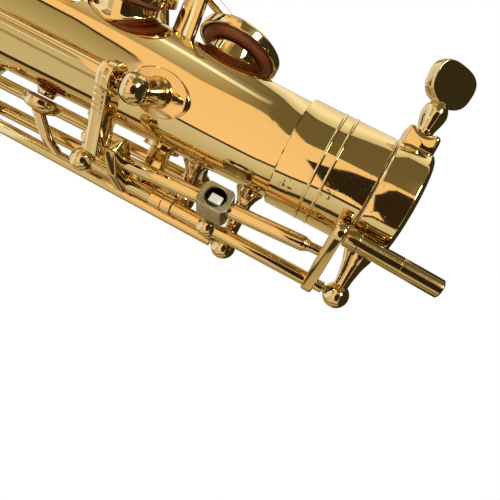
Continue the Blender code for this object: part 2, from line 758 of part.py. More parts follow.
def build_neck_screw(materials):
    centre, out, along = lug_frame()
    tip = SOCKET_RADIUS + TOUCH_GAP - CLAMP_RADIUS
    foot = LUG_TOP + TOUCH_GAP
    stem_end = foot + SCREW_STEM_LENGTH
    shank = SCREW_SHANK_RADIUS
    swell, tall = SCREW_STEM_RADIUS, SCREW_STEM_LENGTH
    profile = [(0, tip), (shank, tip), (shank, foot), (swell * 0.86, foot), (swell, foot + tall * 0.21),
               (swell * 0.94, foot + tall * 0.43), (swell * 0.57, foot + tall * 0.82),
               (swell * 0.37, stem_end), (0, stem_end)]
    stem = turned(profile, centre, out, 14)
    tilt = math.radians(SCREW_PLATE_TURN)
    face = along * math.cos(tilt) + UP * math.sin(tilt)
    plate_centre = centre + out * (stem_end + SCREW_PLATE_RADIUS * 0.68)
    thick = SCREW_PLATE_THICKNESS / 2
    edge = SCREW_PLATE_RADIUS
    disc = turned([(0, -thick * 0.7), (edge * 0.8, -thick), (edge, -thick * 0.5), (edge, thick * 0.5),
                   (edge * 0.8, thick), (0, thick * 0.7)], plate_centre, face, 20)
    screw = join([stem, disc])
    pivot = make_pivot("neck_screw_pivot", centre, out)
    publish(screw, "neck_screw", materials["brass"], pivot)


# Octave mechanism

def pin_hinge():
    return straight_line(PIN_HINGE_ANGLE, CLAMP_RADIUS + PIN_HINGE_HEIGHT)


def pin_axis_points():
    start = polar(PIN_ANGLE, CLAMP_RADIUS + PIN_RADIUS + PIN_CLEARANCE, PIN_BAR_DEPTH)
    end = Vector((start.x, start.y + PIN_LEAN, level(-PIN_REACH)))
    return start, end


def upper_rod_point(depth):
    # The upper rod leans slightly from the bar at the receiver to the hook
    pin = flat(pin_axis_points()[0])
    hinge = flat(pin_hinge()(0.0))
    near = pin + (hinge - pin) * UPPER_ROD_REACH
    share = (depth - PIN_BAR_DEPTH) / (HOOK_DEPTH - PIN_BAR_DEPTH)
    return Vector((near.x, near.y + UPPER_ROD_RISE * share, level(depth)))


def build_pin_key(materials):
    brass = materials["brass"]
    hinge = pin_hinge()
    pivot = make_pivot("pin_key_pivot", hinge(PIN_BAR_DEPTH), UP)
    bar_top = PIN_BAR_DEPTH - PIN_BAR_THICKNESS / 2
    bar_bottom = PIN_BAR_DEPTH + PIN_BAR_THICKNESS / 2
    hook_top = HOOK_DEPTH - HOOK_THICKNESS / 2
    hook_bottom = HOOK_DEPTH + HOOK_THICKNESS / 2

    pin_start, pin_end = pin_axis_points()
    hinge_point = hinge(PIN_BAR_DEPTH)
    plate = rounded_bar(pin_start, hinge_point, UP, PIN_BAR_WIDTH, PIN_BAR_THICKNESS)
    stub = rod(hinge_point, hinge(PIN_POST_DEPTH + BALL_RADIUS * 0.4), PIVOT_RADIUS)
    boss = rod(hinge_point, hinge(PIN_POST_DEPTH + BALL_RADIUS + TOUCH_GAP), PIVOT_RADIUS * 1.5)
    publish(join([plate, boss, stub]), "pin_key_bar", brass, pivot)

    direction = (pin_end - pin_start).normalized()
    pin_base = pin_start + direction * (PIN_BAR_THICKNESS / 2 + TOUCH_GAP)
    length = (pin_end - pin_base).length
    collar = PIN_RADIUS + 0.15
    profile = [(0, 0), (collar, 0), (collar, 2.4), (PIN_RADIUS, 2.6), (PIN_RADIUS, length - 0.3),
               (PIN_RADIUS - 0.3, length), (0, length)]
    publish(turned(profile, pin_base, direction, 16), "octave_pin", materials["worn"], pivot)

    low, high = hinge(hook_top - TOUCH_GAP), hinge(bar_bottom + TOUCH_GAP)
    tube = rod(low, high, ROD_RADIUS, 12)
    bulb = ball(hinge(BLOCK_DEPTH + 0.5), ROD_RADIUS * 1.6, UP, 12)
    collar_low, collar_high = hinge(COLLAR_DEPTH + COLLAR_LENGTH / 2), hinge(COLLAR_DEPTH - COLLAR_LENGTH / 2)
    sleeve = rod(collar_low, collar_high, ROD_RADIUS + COLLAR_STEP, 12)
    publish(join([tube, bulb, sleeve]), "pin_key_hinge_tube", brass, pivot)

    half = BLOCK_LENGTH / 2
    near_end = upper_rod_point(bar_bottom + TOUCH_GAP)
    block_near = upper_rod_point(BLOCK_DEPTH - half - TOUCH_GAP)
    axis = near_end - block_near
    length = axis.length
    profile = [(0, 0), (ROD_RADIUS, 0), (ROD_RADIUS, length - 3.6), (UPPER_ROD_NECK, length - 2.0),
               (UPPER_ROD_NECK, length), (0, length)]
    publish(turned(profile, block_near, axis, 12), "pin_key_front_rod", brass, pivot)
    block_far = upper_rod_point(BLOCK_DEPTH + half + TOUCH_GAP)
    rear = rod(upper_rod_point(hook_top - TOUCH_GAP), block_far, ROD_RADIUS, 12)
    publish(rear, "pin_key_rear_rod", brass, pivot)

    build_swivel_block(materials, pivot)
    build_hook(materials, pivot, hook_top, hook_bottom)


def build_swivel_block(materials, pivot):
    centre = upper_rod_point(BLOCK_DEPTH)
    turn = math.radians(BLOCK_TURN)
    face = Vector((math.cos(turn), math.sin(turn), 0.0))
    across = UP.cross(face)
    half = BLOCK_SIZE / 2
    long = BLOCK_LENGTH / 2
    trim = half * 0.25
    corners = [(-half, -long + trim), (-half + trim, -long), (half - trim, -long), (half, -long + trim),
               (half, long - trim), (half - trim, long), (-half + trim, long), (-half, long - trim)]
    outline = [centre + across * a + UP * b for a, b in corners]
    block = prism(outline, face * -half, face * half)
    bore = rod(centre + face * (half - BLOCK_BORE_DEPTH), centre + face * (half + 2), BLOCK_BORE_RADIUS, 16)
    cut(block, [bore])
    publish(block, "swivel_block", materials["worn"], pivot)
    floor = half - BLOCK_BORE_DEPTH + TOUCH_GAP
    tongue = bar(centre + face * floor, centre + face * (half - 0.9), UP, TONGUE_WIDTH, TONGUE_THICKNESS)
    publish(tongue, "swivel_tongue", materials["steel"], pivot)


def build_hook(materials, pivot, top, bottom):
    # A bent plate that holds the far ends of the rods and leans out towards the tall lever
    hinge = pin_hinge()(HOOK_DEPTH)
    rod_end = upper_rod_point(HOOK_DEPTH)
    across = (rod_end - hinge).normalized()
    out = across.cross(UP)
    if out.x < 0:
        out = -out
    reach = (rod_end - hinge).length
    corners = [(reach + 6.0, -0.6), (reach + 5.4, 2.5), (reach * 0.8, 3.2), (-1.8, 1.9), (-2.6, 0.0),
               (-1.4, -2.2), (reach * 0.5, -2.2), (reach + 4.4, -2.2)]
    outline = [hinge + across * a + out * b for a, b in corners]
    half = UP * (HOOK_THICKNESS / 2)
    plate = prism(outline, -half, half)
    hinge_line = pin_hinge()
    stub = rod(hinge_line(HOOK_DEPTH), hinge_line(HOOK_POST_DEPTH - BALL_RADIUS * 0.4), PIVOT_RADIUS)
    publish(join([plate, stub]), "pin_key_hook", materials["brass"], pivot)


def build_pin_posts(materials):
    hinge = pin_hinge()
    head = hinge(PIN_POST_DEPTH)
    base = polar(PIN_HINGE_ANGLE, CLAMP_RADIUS - 1.0, PIN_POST_DEPTH)
    length = (head - base).length
    profile = [(0, 0), (POST_FOOT_RADIUS, 0), (POST_FOOT_RADIUS, 1.8), (POST_FOOT_RADIUS * 0.85, 2.6),
               (POST_STEM_RADIUS * 0.8, length - BALL_RADIUS * 0.6), (0, length - BALL_RADIUS * 0.6)]
    post = join([turned(profile, base, head - base, 14), ball(head, BALL_RADIUS, head - base, 14)])
    widen = 1.0 / math.cos(math.pi / CUTTER_SIDES)
    ring_space = rod(Vector((0, 0, level(30))), Vector((0, 0, level(-20))),
                     (CLAMP_RADIUS + TOUCH_GAP) * widen, CUTTER_SIDES)
    cut(post, [ring_space, pivot_hole(head, UP)])
    publish(post, "pin_key_post", materials["brass"])
    single_post("pin_key_lower_post", PIN_HINGE_ANGLE, HOOK_POST_DEPTH, hinge(HOOK_POST_DEPTH), UP,
                materials["brass"])


def link_line():
    return straight_line(LINK_ANGLE, SLEEVE_RADIUS + LINK_HEIGHT)


def lever_tip():
    return link_line()(LEVER_DEPTH) + LEVER_LENGTH * outward(LEVER_DIRECTION)


def build_link(materials):
    brass = materials["brass"]
    line = link_line()
    pivot = make_pivot("octave_link_pivot", line(LEVER_DEPTH), UP)
    tube = hinge_tube(line, LINK_POST_DEPTH, LINK_LOWER_DEPTH, ROD_RADIUS * 1.05)
    tip = lever_tip()
    lever = rounded_bar(line(LEVER_DEPTH), tip, UP, LEVER_WIDTH, LEVER_THICKNESS)
    boss = rod(line(LEVER_DEPTH), line(LINK_POST_DEPTH + BALL_RADIUS + TOUCH_GAP), LEVER_BOSS_RADIUS, 12)
    knob = turned([(0, 0), (1.5, 0), (1.5, 2.2), (1.0, 3.0), (0, 3.2)], tip, -UP, 12)
    arm_end = polar(LINK_ARM_ANGLE, tube_radius(LINK_ARM_DEPTH) + 8.4, LINK_ARM_DEPTH)
    arm = bar(line(LINK_ARM_DEPTH), arm_end, UP, ARM_WIDTH, ARM_THICKNESS)
    publish(join([tube, lever, boss, knob, arm]), "octave_link", brass, pivot)

    head = line(LINK_POST_DEPTH)
    foot_centre = polar(LINK_ANGLE, tube_radius(LINK_POST_DEPTH), LINK_POST_DEPTH)
    foot = oval(foot_centre, UP, around(LINK_ANGLE), LINK_FOOT_LENGTH, LINK_FOOT_WIDTH, 2.4)
    post = join([foot] + post_pieces(LINK_ANGLE, LINK_POST_DEPTH, head, LINK_STEM_RADIUS))
    cut(post, [tube_cutter(LINK_POST_DEPTH - 15, LINK_POST_DEPTH + 15), pivot_hole(head, UP)])
    publish(post, "link_post", brass)
    single_post("link_lower_post", LINK_ANGLE, LINK_LOWER_DEPTH, line(LINK_LOWER_DEPTH), UP, brass)


def build_vent_key(materials):
    brass = materials["brass"]
    line = straight_line(VENT_ANGLE, SLEEVE_RADIUS + VENT_HEIGHT)
    top, middle, bottom = VENT_POST_DEPTHS
    pivot = make_pivot("vent_key_pivot", line(VENT_PIP_DEPTH), UP)
    tube = hinge_tube(line, top, bottom, ROD_RADIUS * 0.95)
    surface = tube_radius(VENT_PIP_DEPTH)
    face = 1.4 + PAD_GAP
    pad_top = face + 1.4
    ceiling = pad_top + TOUCH_GAP
    cavity = VENT_CUP_RADIUS - CUP_WALL
    base = polar(VENT_PIP_ANGLE, surface, VENT_PIP_DEPTH)
    out = outward(VENT_PIP_ANGLE)
    cup = turned([(0, ceiling), (cavity, ceiling), (cavity, face + 0.6), (VENT_CUP_RADIUS, face + 0.6),
                  (VENT_CUP_RADIUS, ceiling), (VENT_CUP_RADIUS * 0.6, ceiling + 1.3), (0, ceiling + 1.5)],
                 base, out, 14)
    crown = base + out * (ceiling + 1.3)
    arm_start = line(VENT_PIP_DEPTH - VENT_ARM_OFFSET)
    elbow = arm_start.lerp(crown, 0.55) + flat(arm_start).normalized() * 1.2
    pieces = [tube, cup]
    for start, end in ((arm_start, elbow), (elbow, crown)):
        step = (end - start).normalized() * 0.8
        pieces.append(bar(start, end + step, UP, ARM_WIDTH * 0.8, ARM_THICKNESS * 0.9))
    publish(join(pieces), "vent_key", brass, pivot)

    single_post("vent_key_upper_post", VENT_ANGLE, top, line(top), UP, brass)
    single_post("vent_key_lower_post", VENT_ANGLE, bottom, line(bottom), UP, brass)
    saddle_top = line(middle)
    stem_base = polar(VENT_ANGLE, tube_radius(middle) - 1.5, middle)
    stem = bar(stem_base, saddle_top, UP, 4.0, 3.0)
    saddle = join([stem])
    channel = rod(line(middle + 9), line(middle - 9), ROD_RADIUS * 0.95 + PIVOT_GAP, 12)
    cut(saddle, [tube_cutter(middle - 12, middle + 12), channel])
    publish(saddle, "vent_key_middle_post", brass)


def build_thumb_lever(materials):
    brass = materials["brass"]
    surface = tube_radius(THUMB_HINGE_DEPTH)
    hinge = Vector((THUMB_SIDE, surface + THUMB_HINGE_HEIGHT, level(THUMB_HINGE_DEPTH)))
    across = Vector((1.0, 0.0, 0.0))
    pivot = make_pivot("thumb_lever_pivot", hinge, across)
    half = 3.6
    cheek_width = 1.6
    tube = rod(hinge - across * half, hinge + across * half, ROD_RADIUS)
    pin = rod(hinge - across * (half + cheek_width), hinge + across * (half + cheek_width), PIVOT_RADIUS)
    link_arm_end = polar(LINK_ARM_ANGLE, tube_radius(LINK_ARM_DEPTH) + 8.4, LINK_ARM_DEPTH)
    tip = link_arm_end - outward(LINK_ARM_ANGLE) * (ARM_THICKNESS + THUMB_PLAY)
    arm = bar(hinge, tip, across, ARM_WIDTH, ARM_THICKNESS)
    touch_centre = Vector((THUMB_SIDE - 1.0, surface + THUMB_HINGE_HEIGHT + 1.6, level(THUMB_TOUCH_DEPTH)))
    lower_arm = bar(hinge, touch_centre, across, ARM_WIDTH * 1.3, ARM_THICKNESS)
    pad = oval(touch_centre, UP, across, 16.0, 11.0, 2.2, 16)
    publish(join([tube, pin, arm, lower_arm, pad]), "octave_thumb_lever", brass, pivot)

    base = Vector((THUMB_SIDE, surface * 0.75, level(THUMB_HINGE_DEPTH)))
    plate = bar(base - UP * 3.4, base + UP * 3.4, across, 2 * (half + TOUCH_GAP + cheek_width), 7.0)
    pieces = [plate]
    for side in (-1.0, 1.0):
        offset = across * (side * (half + TOUCH_GAP + cheek_width / 2))
        pieces.append(bar(base + offset, hinge + offset + Vector((0, 2.2, 0)), UP, 5.0, cheek_width))
    bracket = join(pieces)
    room = bar(base + Vector((0, 0.2, 0)), hinge + Vector((0, 6.0, 0)), UP, 14.0, 2 * (half + TOUCH_GAP))
    hole = rod(hinge - across * 12.0, hinge + across * 12.0, PIVOT_RADIUS + PIVOT_GAP, HOLE_SIDES)
    floor = Vector((0, surface + 1.2, level(THUMB_HINGE_DEPTH)))
    boolean(room, bar(floor - Vector((0, 30, 0)), floor, UP, 40.0, 60.0), "DIFFERENCE")
    cut(bracket, [room, tube_cutter(THUMB_HINGE_DEPTH - 12, THUMB_HINGE_DEPTH + 12), hole])
    publish(bracket, "thumb_lever_bracket", brass)


# Fittings on the back

def build_back_fittings(materials):
    brass = materials["brass"]
    depth = THUMB_REST_DEPTH
    base = polar(180.0, tube_radius(depth) - 1.5, depth)
    rest = turned([(0, 0), (4.0, 0), (4.0, 3.4), (6.2, 4.2), (6.2, 5.4), (5.0, 6.0), (0, 6.2)],
                  base, outward(180.0), 18)
    cut(rest, [tube_cutter(depth - 12, depth + 12)])
    publish(rest, "thumb_rest", materials["plastic"])

    depth = STRAP_RING_DEPTH
    foot = polar(180.0, tube_radius(depth) - 1.5, depth)
    centre = polar(180.0, tube_radius(depth) + 2.6 + STRAP_RING_RADIUS, depth)
    across = around(180.0)
    wire = STRAP_WIRE_RADIUS
    profile = []
    for step in range(8):
        turn = 2.0 * math.pi * step / 8
        profile.append((STRAP_RING_RADIUS + wire * math.cos(turn), wire * math.sin(turn)))
    loop = turned(profile, centre, across, 20)
    stem = rod(foot, centre + outward(180.0) * (0.4 - STRAP_RING_RADIUS), 2.2, 12)
    ring = join([stem, loop])
    cut(ring, [tube_cutter(depth - 12, depth + 12)])
    publish(ring, "strap_ring", brass)

    depth = THUMB_HOOK_DEPTH
    radius = tube_radius(depth)
    back = outward(180.0)
    plate_centre = polar(180.0, radius, depth)
    plate = bar(plate_centre - UP * 13.0, plate_centre + UP * 7.0, around(180.0), THUMB_HOOK_WIDTH, 4.0)
    path = []
    steps = 7
    for step in range(steps + 1):
        turn = math.radians(90.0 * step / steps)
        path.append(plate_centre + back * (THUMB_HOOK_REACH * math.sin(turn) * 0.8 + 1.0)
                    + UP * (3.0 + 6.0 * (1.0 - math.cos(turn))) * -1.0)
    path.append(path[-1] + back * 2.0 - UP * 3.0)
    pieces = [plate]
    for start, end in zip(path, path[1:]):
        along = (end - start).normalized()
        pieces.append(bar(start - along * 0.7, end + along * 0.7, around(180.0), THUMB_HOOK_WIDTH * 0.75, 2.2))
    hook = join(pieces)
    cut(hook, [tube_cutter(depth - 20, depth + 25)])
    publish(hook, "thumb_hook", brass)


def build_guide(materials):
    # A staple that stands over the tube beside the spine
    tops = []
    pieces = []
    for angle, depth in GUIDE_STEMS:
        base = polar(angle, tube_radius(depth) - 1.5, depth)
        top = polar(angle * 0.85, tube_radius(depth) + GUIDE_HEIGHT, depth)
        pieces.append(rod(base, top, GUIDE_RADIUS))
        tops.append(top)
    along = (tops[1] - tops[0]).normalized()
    across = along.cross(flat(tops[0]).normalized())
    pieces.append(bar(tops[0] - along * 2.0, tops[1] + along * 2.0, across, 3.4, 2.0))
    guide = join(pieces)
    cut(guide, [tube_cutter(GUIDE_STEMS[0][1] - 12, GUIDE_STEMS[0][1] + 16)])
    publish(guide, "spine_guide", materials["brass"])


# Keys and their posts

def build_keys(materials):
    brass = materials["brass"]
    rows = (
        ("upper_stack_rib", STACK_LINE, UPPER_POST_DEPTHS, UPPER_KEYS),
        ("lower_stack_rib", STACK_LINE, LOWER_POST_DEPTHS, LOWER_KEYS),
        ("left_rib", LEFT_LINE, LEFT_POST_DEPTHS, LEFT_KEYS),
    )
    for rib_name, line, depths, keys in rows:
        rib(rib_name, line, depths, brass)
        for name, (place, cup, open_angle, touch) in keys.items():
            make_key(name, line, depths[place:place + 2], cup, open_angle, touch, materials)
    bridges = (
        ("side_key", SIDE_LINES, SIDE_POST_DEPTHS, SIDE_KEYS),
        ("table_key", TABLE_LINES, TABLE_POST_DEPTHS, TABLE_KEYS),
    )
    for stem, lines, depths, keys in bridges:
        top, bottom = depths
        bridge_post(stem + "_upper_post", list(lines.values()), top, bottom, brass)
        bridge_post(stem + "_lower_post", list(lines.values()), bottom, top, brass)
        for name, (line, cup, open_angle, touch) in keys.items():
            make_key(name, lines[line], depths, cup, open_angle, touch, materials)


def main():
    for obj in list(bpy.data.objects):
        bpy.data.objects.remove(obj)
    materials = {
        "brass": make_material("gold_lacquered_brass", (0.80, 0.54, 0.22), 0.12, 1.0),
        "worn": make_material("worn_brass", (0.55, 0.45, 0.24), 0.35, 1.0),
        "steel": make_material("bright_steel", (0.75, 0.73, 0.68), 0.25, 1.0),
        "leather": make_material("pad_leather", (0.30, 0.12, 0.04), 0.6, 0.0),
        "pearl": make_material("pearl_touch", (0.88, 0.86, 0.80), 0.2, 0.0),
        "plastic": make_material("black_plastic", (0.03, 0.03, 0.03), 0.35, 0.0),
    }
    build_bell(materials)
    build_bell_ring(materials)
    build_body_tube(materials)
    build_receiver(materials)
    build_clamp_ring(materials)
    build_neck_screw(materials)
    build_pin_key(materials)
    build_pin_posts(materials)
    build_link(materials)
    build_vent_key(materials)
    build_thumb_lever(materials)
    build_back_fittings(materials)
    build_guide(materials)
    build_keys(materials)


main()
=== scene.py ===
import json
import math

import bmesh
import bpy
from mathutils import Matrix, Vector


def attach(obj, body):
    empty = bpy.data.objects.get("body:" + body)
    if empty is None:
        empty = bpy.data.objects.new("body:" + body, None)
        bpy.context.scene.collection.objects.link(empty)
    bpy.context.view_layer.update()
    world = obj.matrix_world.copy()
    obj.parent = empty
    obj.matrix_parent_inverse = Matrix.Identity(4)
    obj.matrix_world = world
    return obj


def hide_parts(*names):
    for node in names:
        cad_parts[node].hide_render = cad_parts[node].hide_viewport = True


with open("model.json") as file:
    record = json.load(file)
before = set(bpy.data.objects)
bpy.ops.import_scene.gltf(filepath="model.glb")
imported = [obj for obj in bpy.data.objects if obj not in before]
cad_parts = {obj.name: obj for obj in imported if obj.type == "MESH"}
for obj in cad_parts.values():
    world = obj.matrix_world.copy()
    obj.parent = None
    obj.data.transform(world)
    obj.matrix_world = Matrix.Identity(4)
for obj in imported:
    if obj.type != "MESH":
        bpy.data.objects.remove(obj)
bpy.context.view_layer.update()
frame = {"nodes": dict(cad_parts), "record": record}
scene = bpy.context.scene
scene.view_settings.view_transform = "Standard"
print("frame loaded,", len(frame["nodes"]), "nodes")

mm = 0.001
up = Vector((0.0, 0.0, 1.0))
origin = Vector((0.0, 0.0, 0.0))
bodies = frame["record"]["behaviour"]["bodies"]
bodyOf = {node: body for body, nodes in bodies.items() for node in nodes}

# the instrument's run: depths count down from the open receiver, angles go round from the front
run = {"length": 590.0, "bell": 115.0, "topRadius": 10.2, "taper": 0.024, "wall": 0.9, "sleeveEnd": 24.8}
# space between pieces that touch
gap = 0.3


def level(depth):
    return run["length"] - depth


def tubeRadius(depth):
    return run["topRadius"] + run["taper"] * (depth - run["sleeveEnd"])


def polar(angle, radius, depth):
    turn = math.radians(angle)
    return Vector((radius * math.sin(turn), -radius * math.cos(turn), level(depth)))


def onTube(angle, depth, height=0.0):
    return polar(angle, tubeRadius(depth) + height, depth)


def outward(angle):
    turn = math.radians(angle)
    return Vector((math.sin(turn), -math.cos(turn), 0.0))


def around(angle):
    turn = math.radians(angle)
    return Vector((math.cos(turn), math.sin(turn), 0.0))


def flatten(point):
    return Vector((point.x, point.y, 0.0))


def straightLine(angle, radius):
    return lambda depth: polar(angle, radius, depth)


def addObject(name, data):
    made = bpy.data.objects.new(name, data)
    scene.collection.objects.link(made)
    return made


# camera, at the photograph's place beside the receiver
shot = {
    "place": (0.096366, 0.0, 0.57661),
    "right": (-0.18584066, -0.44453455, 0.87627181),
    "up": (-0.14485045, -0.86966894, -0.47190494),
    "back": (0.97184443, -0.21462749, 0.09722882),
    "lens": 34.61,
}
lensData = bpy.data.cameras.new("photoCamera")
lensData.lens = shot["lens"]
lensData.sensor_width = 36.0
lensData.clip_start, lensData.clip_end = 0.005, 30.0
scene.camera = addObject("photoCamera", lensData)
aimed = Matrix((shot["right"], shot["up"], shot["back"])).transposed().to_4x4()
scene.camera.matrix_world = Matrix.Translation(shot["place"]) @ aimed
print("camera set")


# node trees: inputs take plain values or other nodes' outputs

def feed(tree, node, inputs):
    for label, value in inputs.items():
        if isinstance(value, bpy.types.NodeSocket):
            tree.links.new(value, node.inputs[label])
        else:
            node.inputs[label].default_value = value
    return node


def addNode(tree, kind, inputs, **settings):
    node = tree.nodes.new(kind)
    for label, value in settings.items():
        setattr(node, label, value)
    return feed(tree, node, inputs)


def startGroup(name, inputs, outputs, kind="ShaderNodeTree"):
    tree = bpy.data.node_groups.new(name, kind)
    for way, sockets in (("INPUT", inputs), ("OUTPUT", outputs)):
        for label, socketKind in sockets.items():
            tree.interface.new_socket(name=label, in_out=way, socket_type="NodeSocket" + socketKind)
    return tree, tree.nodes.new("NodeGroupInput").outputs, tree.nodes.new("NodeGroupOutput")


def addNoise(tree, vector, scale, detail, rough=0.55):
    return addNode(tree, "ShaderNodeTexNoise", {
        "Vector": vector, "Scale": scale, "Detail": detail, "Roughness": rough}).outputs["Fac"]


def addRange(tree, value, low, high, toLow=0.0, toHigh=1.0):
    return addNode(tree, "ShaderNodeMapRange", {
        "Value": value, "From Min": low, "From Max": high, "To Min": toLow, "To Max": toHigh}).outputs["Result"]


def addMath(tree, kind, first, second):
    return addNode(tree, "ShaderNodeMath", {0: first, 1: second}, operation=kind).outputs["Value"]


def addMix(tree, share, first, second):
    tints = [(*tint, 1.0) if isinstance(tint, tuple) else tint for tint in (first, second)]
    return addNode(tree, "ShaderNodeMix", {"Factor": share, "A": tints[0], "B": tints[1]},
                   data_type="RGBA").outputs["Result"]


def addBump(tree, height, strength, distance):
    return addNode(tree, "ShaderNodeBump", {
        "Strength": strength, "Distance": distance, "Height": height}).outputs["Normal"]


def addCells(tree, vector, scale, feature="F1"):
    return addNode(tree, "ShaderNodeTexVoronoi", {"Scale": scale, "Vector": vector},
                   feature=feature).outputs["Distance"]


def addNear(tree, vector, place, reach, core):
    # one inside a ball about a place (in metres), fading to nothing at its reach
    apart = addNode(tree, "ShaderNodeVectorMath", {0: vector, 1: place}, operation="DISTANCE")
    return addRange(tree, apart.outputs["Value"], reach, reach * core)


def addSpots(tree, vector, place, reach):
    # a small cluster of dark specks
    near = addNear(tree, vector, place, reach, 0.6)
    specks = addRange(tree, addNoise(tree, vector, 1500.0, 1.0), 0.56, 0.62)
    return addMath(tree, "MULTIPLY", near, specks)


# finishes: two shared groups, then one material for each finish

def makeHandledGroup():
    # hand smears, lacquer pits in patches, and hairlines along the bore
    tree, given, result = startGroup("handledMetal", {"Vector": "Vector", "Patch Size": "Float"},
                                     {"Smear": "Float", "Pits": "Float", "Hairline": "Float"})
    vector = given["Vector"]
    patch = addRange(tree, addNoise(tree, vector, given["Patch Size"], 2.0, 0.5), 0.6, 0.68)
    dots = addRange(tree, addCells(tree, vector, 900.0), 0.2, 0.1)
    drawn = addNode(tree, "ShaderNodeMapping", {"Vector": vector, "Scale": (2600.0, 2600.0, 90.0)})
    lines = addMath(tree, "MULTIPLY", addNoise(tree, drawn.outputs["Vector"], 1.0, 2.0), 0.7)
    grain = addMath(tree, "MULTIPLY", addNoise(tree, vector, 1500.0, 3.0), 0.3)
    feed(tree, result, {
        "Smear": addRange(tree, addNoise(tree, vector, 62.0, 5.0), 0.42, 0.72),
        "Pits": addMath(tree, "MULTIPLY", patch, dots),
        "Hairline": addMath(tree, "ADD", lines, grain)})
    return tree


def makeTarnishGroup():
    # cloudy patches of bare, oxidised metal
    tree, given, result = startGroup("bareTarnish", {"Vector": "Vector"}, {"Cloud": "Float", "Grain": "Float"})
    feed(tree, result, {
        "Cloud": addRange(tree, addNoise(tree, given["Vector"], 420.0, 6.0, 0.65), 0.35, 0.68),
        "Grain": addNoise(tree, given["Vector"], 4200.0, 3.0)})
    return tree


handledGroup = makeHandledGroup()
tarnishGroup = makeTarnishGroup()


def startMaterial(name):
    material = bpy.data.materials.new(name)
    material.use_nodes = True
    tree = material.node_tree
    vector = tree.nodes.new("ShaderNodeTexCoord").outputs["Object"]
    return material, tree, tree.nodes["Principled BSDF"], vector


def makeLacquer(name, look):
    # polished brass under clear gold lacquer
    material, tree, shader, vector = startMaterial(name)
    handled = addNode(tree, "ShaderNodeGroup", {"Vector": vector, "Patch Size": look["patch"]},
                      node_tree=handledGroup).outputs
    pits = addMath(tree, "MULTIPLY", handled["Pits"], look["pits"])
    for place, reach in look.get("spots", ()):
        pits = addMath(tree, "MAXIMUM", pits, addSpots(tree, vector, place, reach))
    tone = addMix(tree, handled["Smear"], look["colour"], look["warm"])
    gloss = addRange(tree, handled["Smear"], 0.0, 1.0, look["rough"], look["rough"] + look["smear"])
    feed(tree, shader, {
        "Base Color": addMix(tree, pits, tone, look["pitColour"]),
        "Roughness": addMath(tree, "ADD", gloss, addMath(tree, "MULTIPLY", pits, 0.4)),
        "Metallic": 1.0, "Normal": addBump(tree, handled["Hairline"], look["hairline"], 0.00004)})
    return material


def makeBare(name, look):
    # brass or steel with its lacquer rubbed away
    material, tree, shader, vector = startMaterial(name)
    tarnish = addNode(tree, "ShaderNodeGroup", {"Vector": vector}, node_tree=tarnishGroup).outputs
    tone = addMix(tree, tarnish["Cloud"], look["colour"], look["cloud"])
    # painted shade: inside a ball about the given place in metres, the colour is mixed towards near black,
    # standing in for the shade that falls inside the bore
    if "bore" in look:
        tone = addMix(tree, addNear(tree, vector, *look["bore"], 0.95), tone, look["boreShadeColour"])
    feed(tree, shader, {
        "Base Color": tone, "Metallic": look["metal"],
        "Roughness": addRange(tree, tarnish["Cloud"], 0.0, 1.0, look["rough"], look["rough"] + look["spread"]),
        "Normal": addBump(tree, tarnish["Grain"], look["grain"], 0.00008)})
    return material


def makeLeather(name, look):
    material, tree, shader, vector = startMaterial(name)
    pores = addRange(tree, addCells(tree, vector, 1700.0, "DISTANCE_TO_EDGE"), 0.0, 0.22)
    cloud = addRange(tree, addNoise(tree, vector, 210.0, 4.0), 0.3, 0.7)
    tone = addMix(tree, cloud, look["colour"], look["deep"])
    feed(tree, shader, {
        "Base Color": addMix(tree, addRange(tree, pores, 0.0, 1.0, 0.5, 0.0), tone, look["deep"]),
        "Roughness": addRange(tree, cloud, 0.0, 1.0, 0.36, 0.55),
        "Normal": addBump(tree, pores, 0.25, 0.00012)})
    return material


def makePearlFinish(name, look):
    # soft coloured layers under a clear face
    material, tree, shader, vector = startMaterial(name)
    wave = addNode(tree, "ShaderNodeTexWave", {
        "Vector": vector, "Scale": 120.0, "Distortion": 9.0, "Detail": 3.0}).outputs["Fac"]
    cool = addRange(tree, addNoise(tree, vector, 320.0, 3.0), 0.4, 0.7)
    feed(tree, shader, {
        "Base Color": addMix(tree, cool, addMix(tree, wave, look["pale"], look["rose"]), look["cool"]),
        "Roughness": addRange(tree, wave, 0.0, 1.0, 0.12, 0.24), "Coat Weight": 0.6})
    return material


def makeThumbPlastic(name, look):
    material, tree, shader, vector = startMaterial(name)
    rub = addRange(tree, addNoise(tree, vector, 160.0, 4.0), 0.4, 0.7)
    feed(tree, shader, {
        "Base Color": addMix(tree, rub, look["colour"], look["rubbed"]),
        "Roughness": addRange(tree, rub, 0.0, 1.0, 0.25, 0.5),
        "Normal": addBump(tree, addNoise(tree, vector, 2400.0, 2.0), 0.1, 0.00006)})
    return material


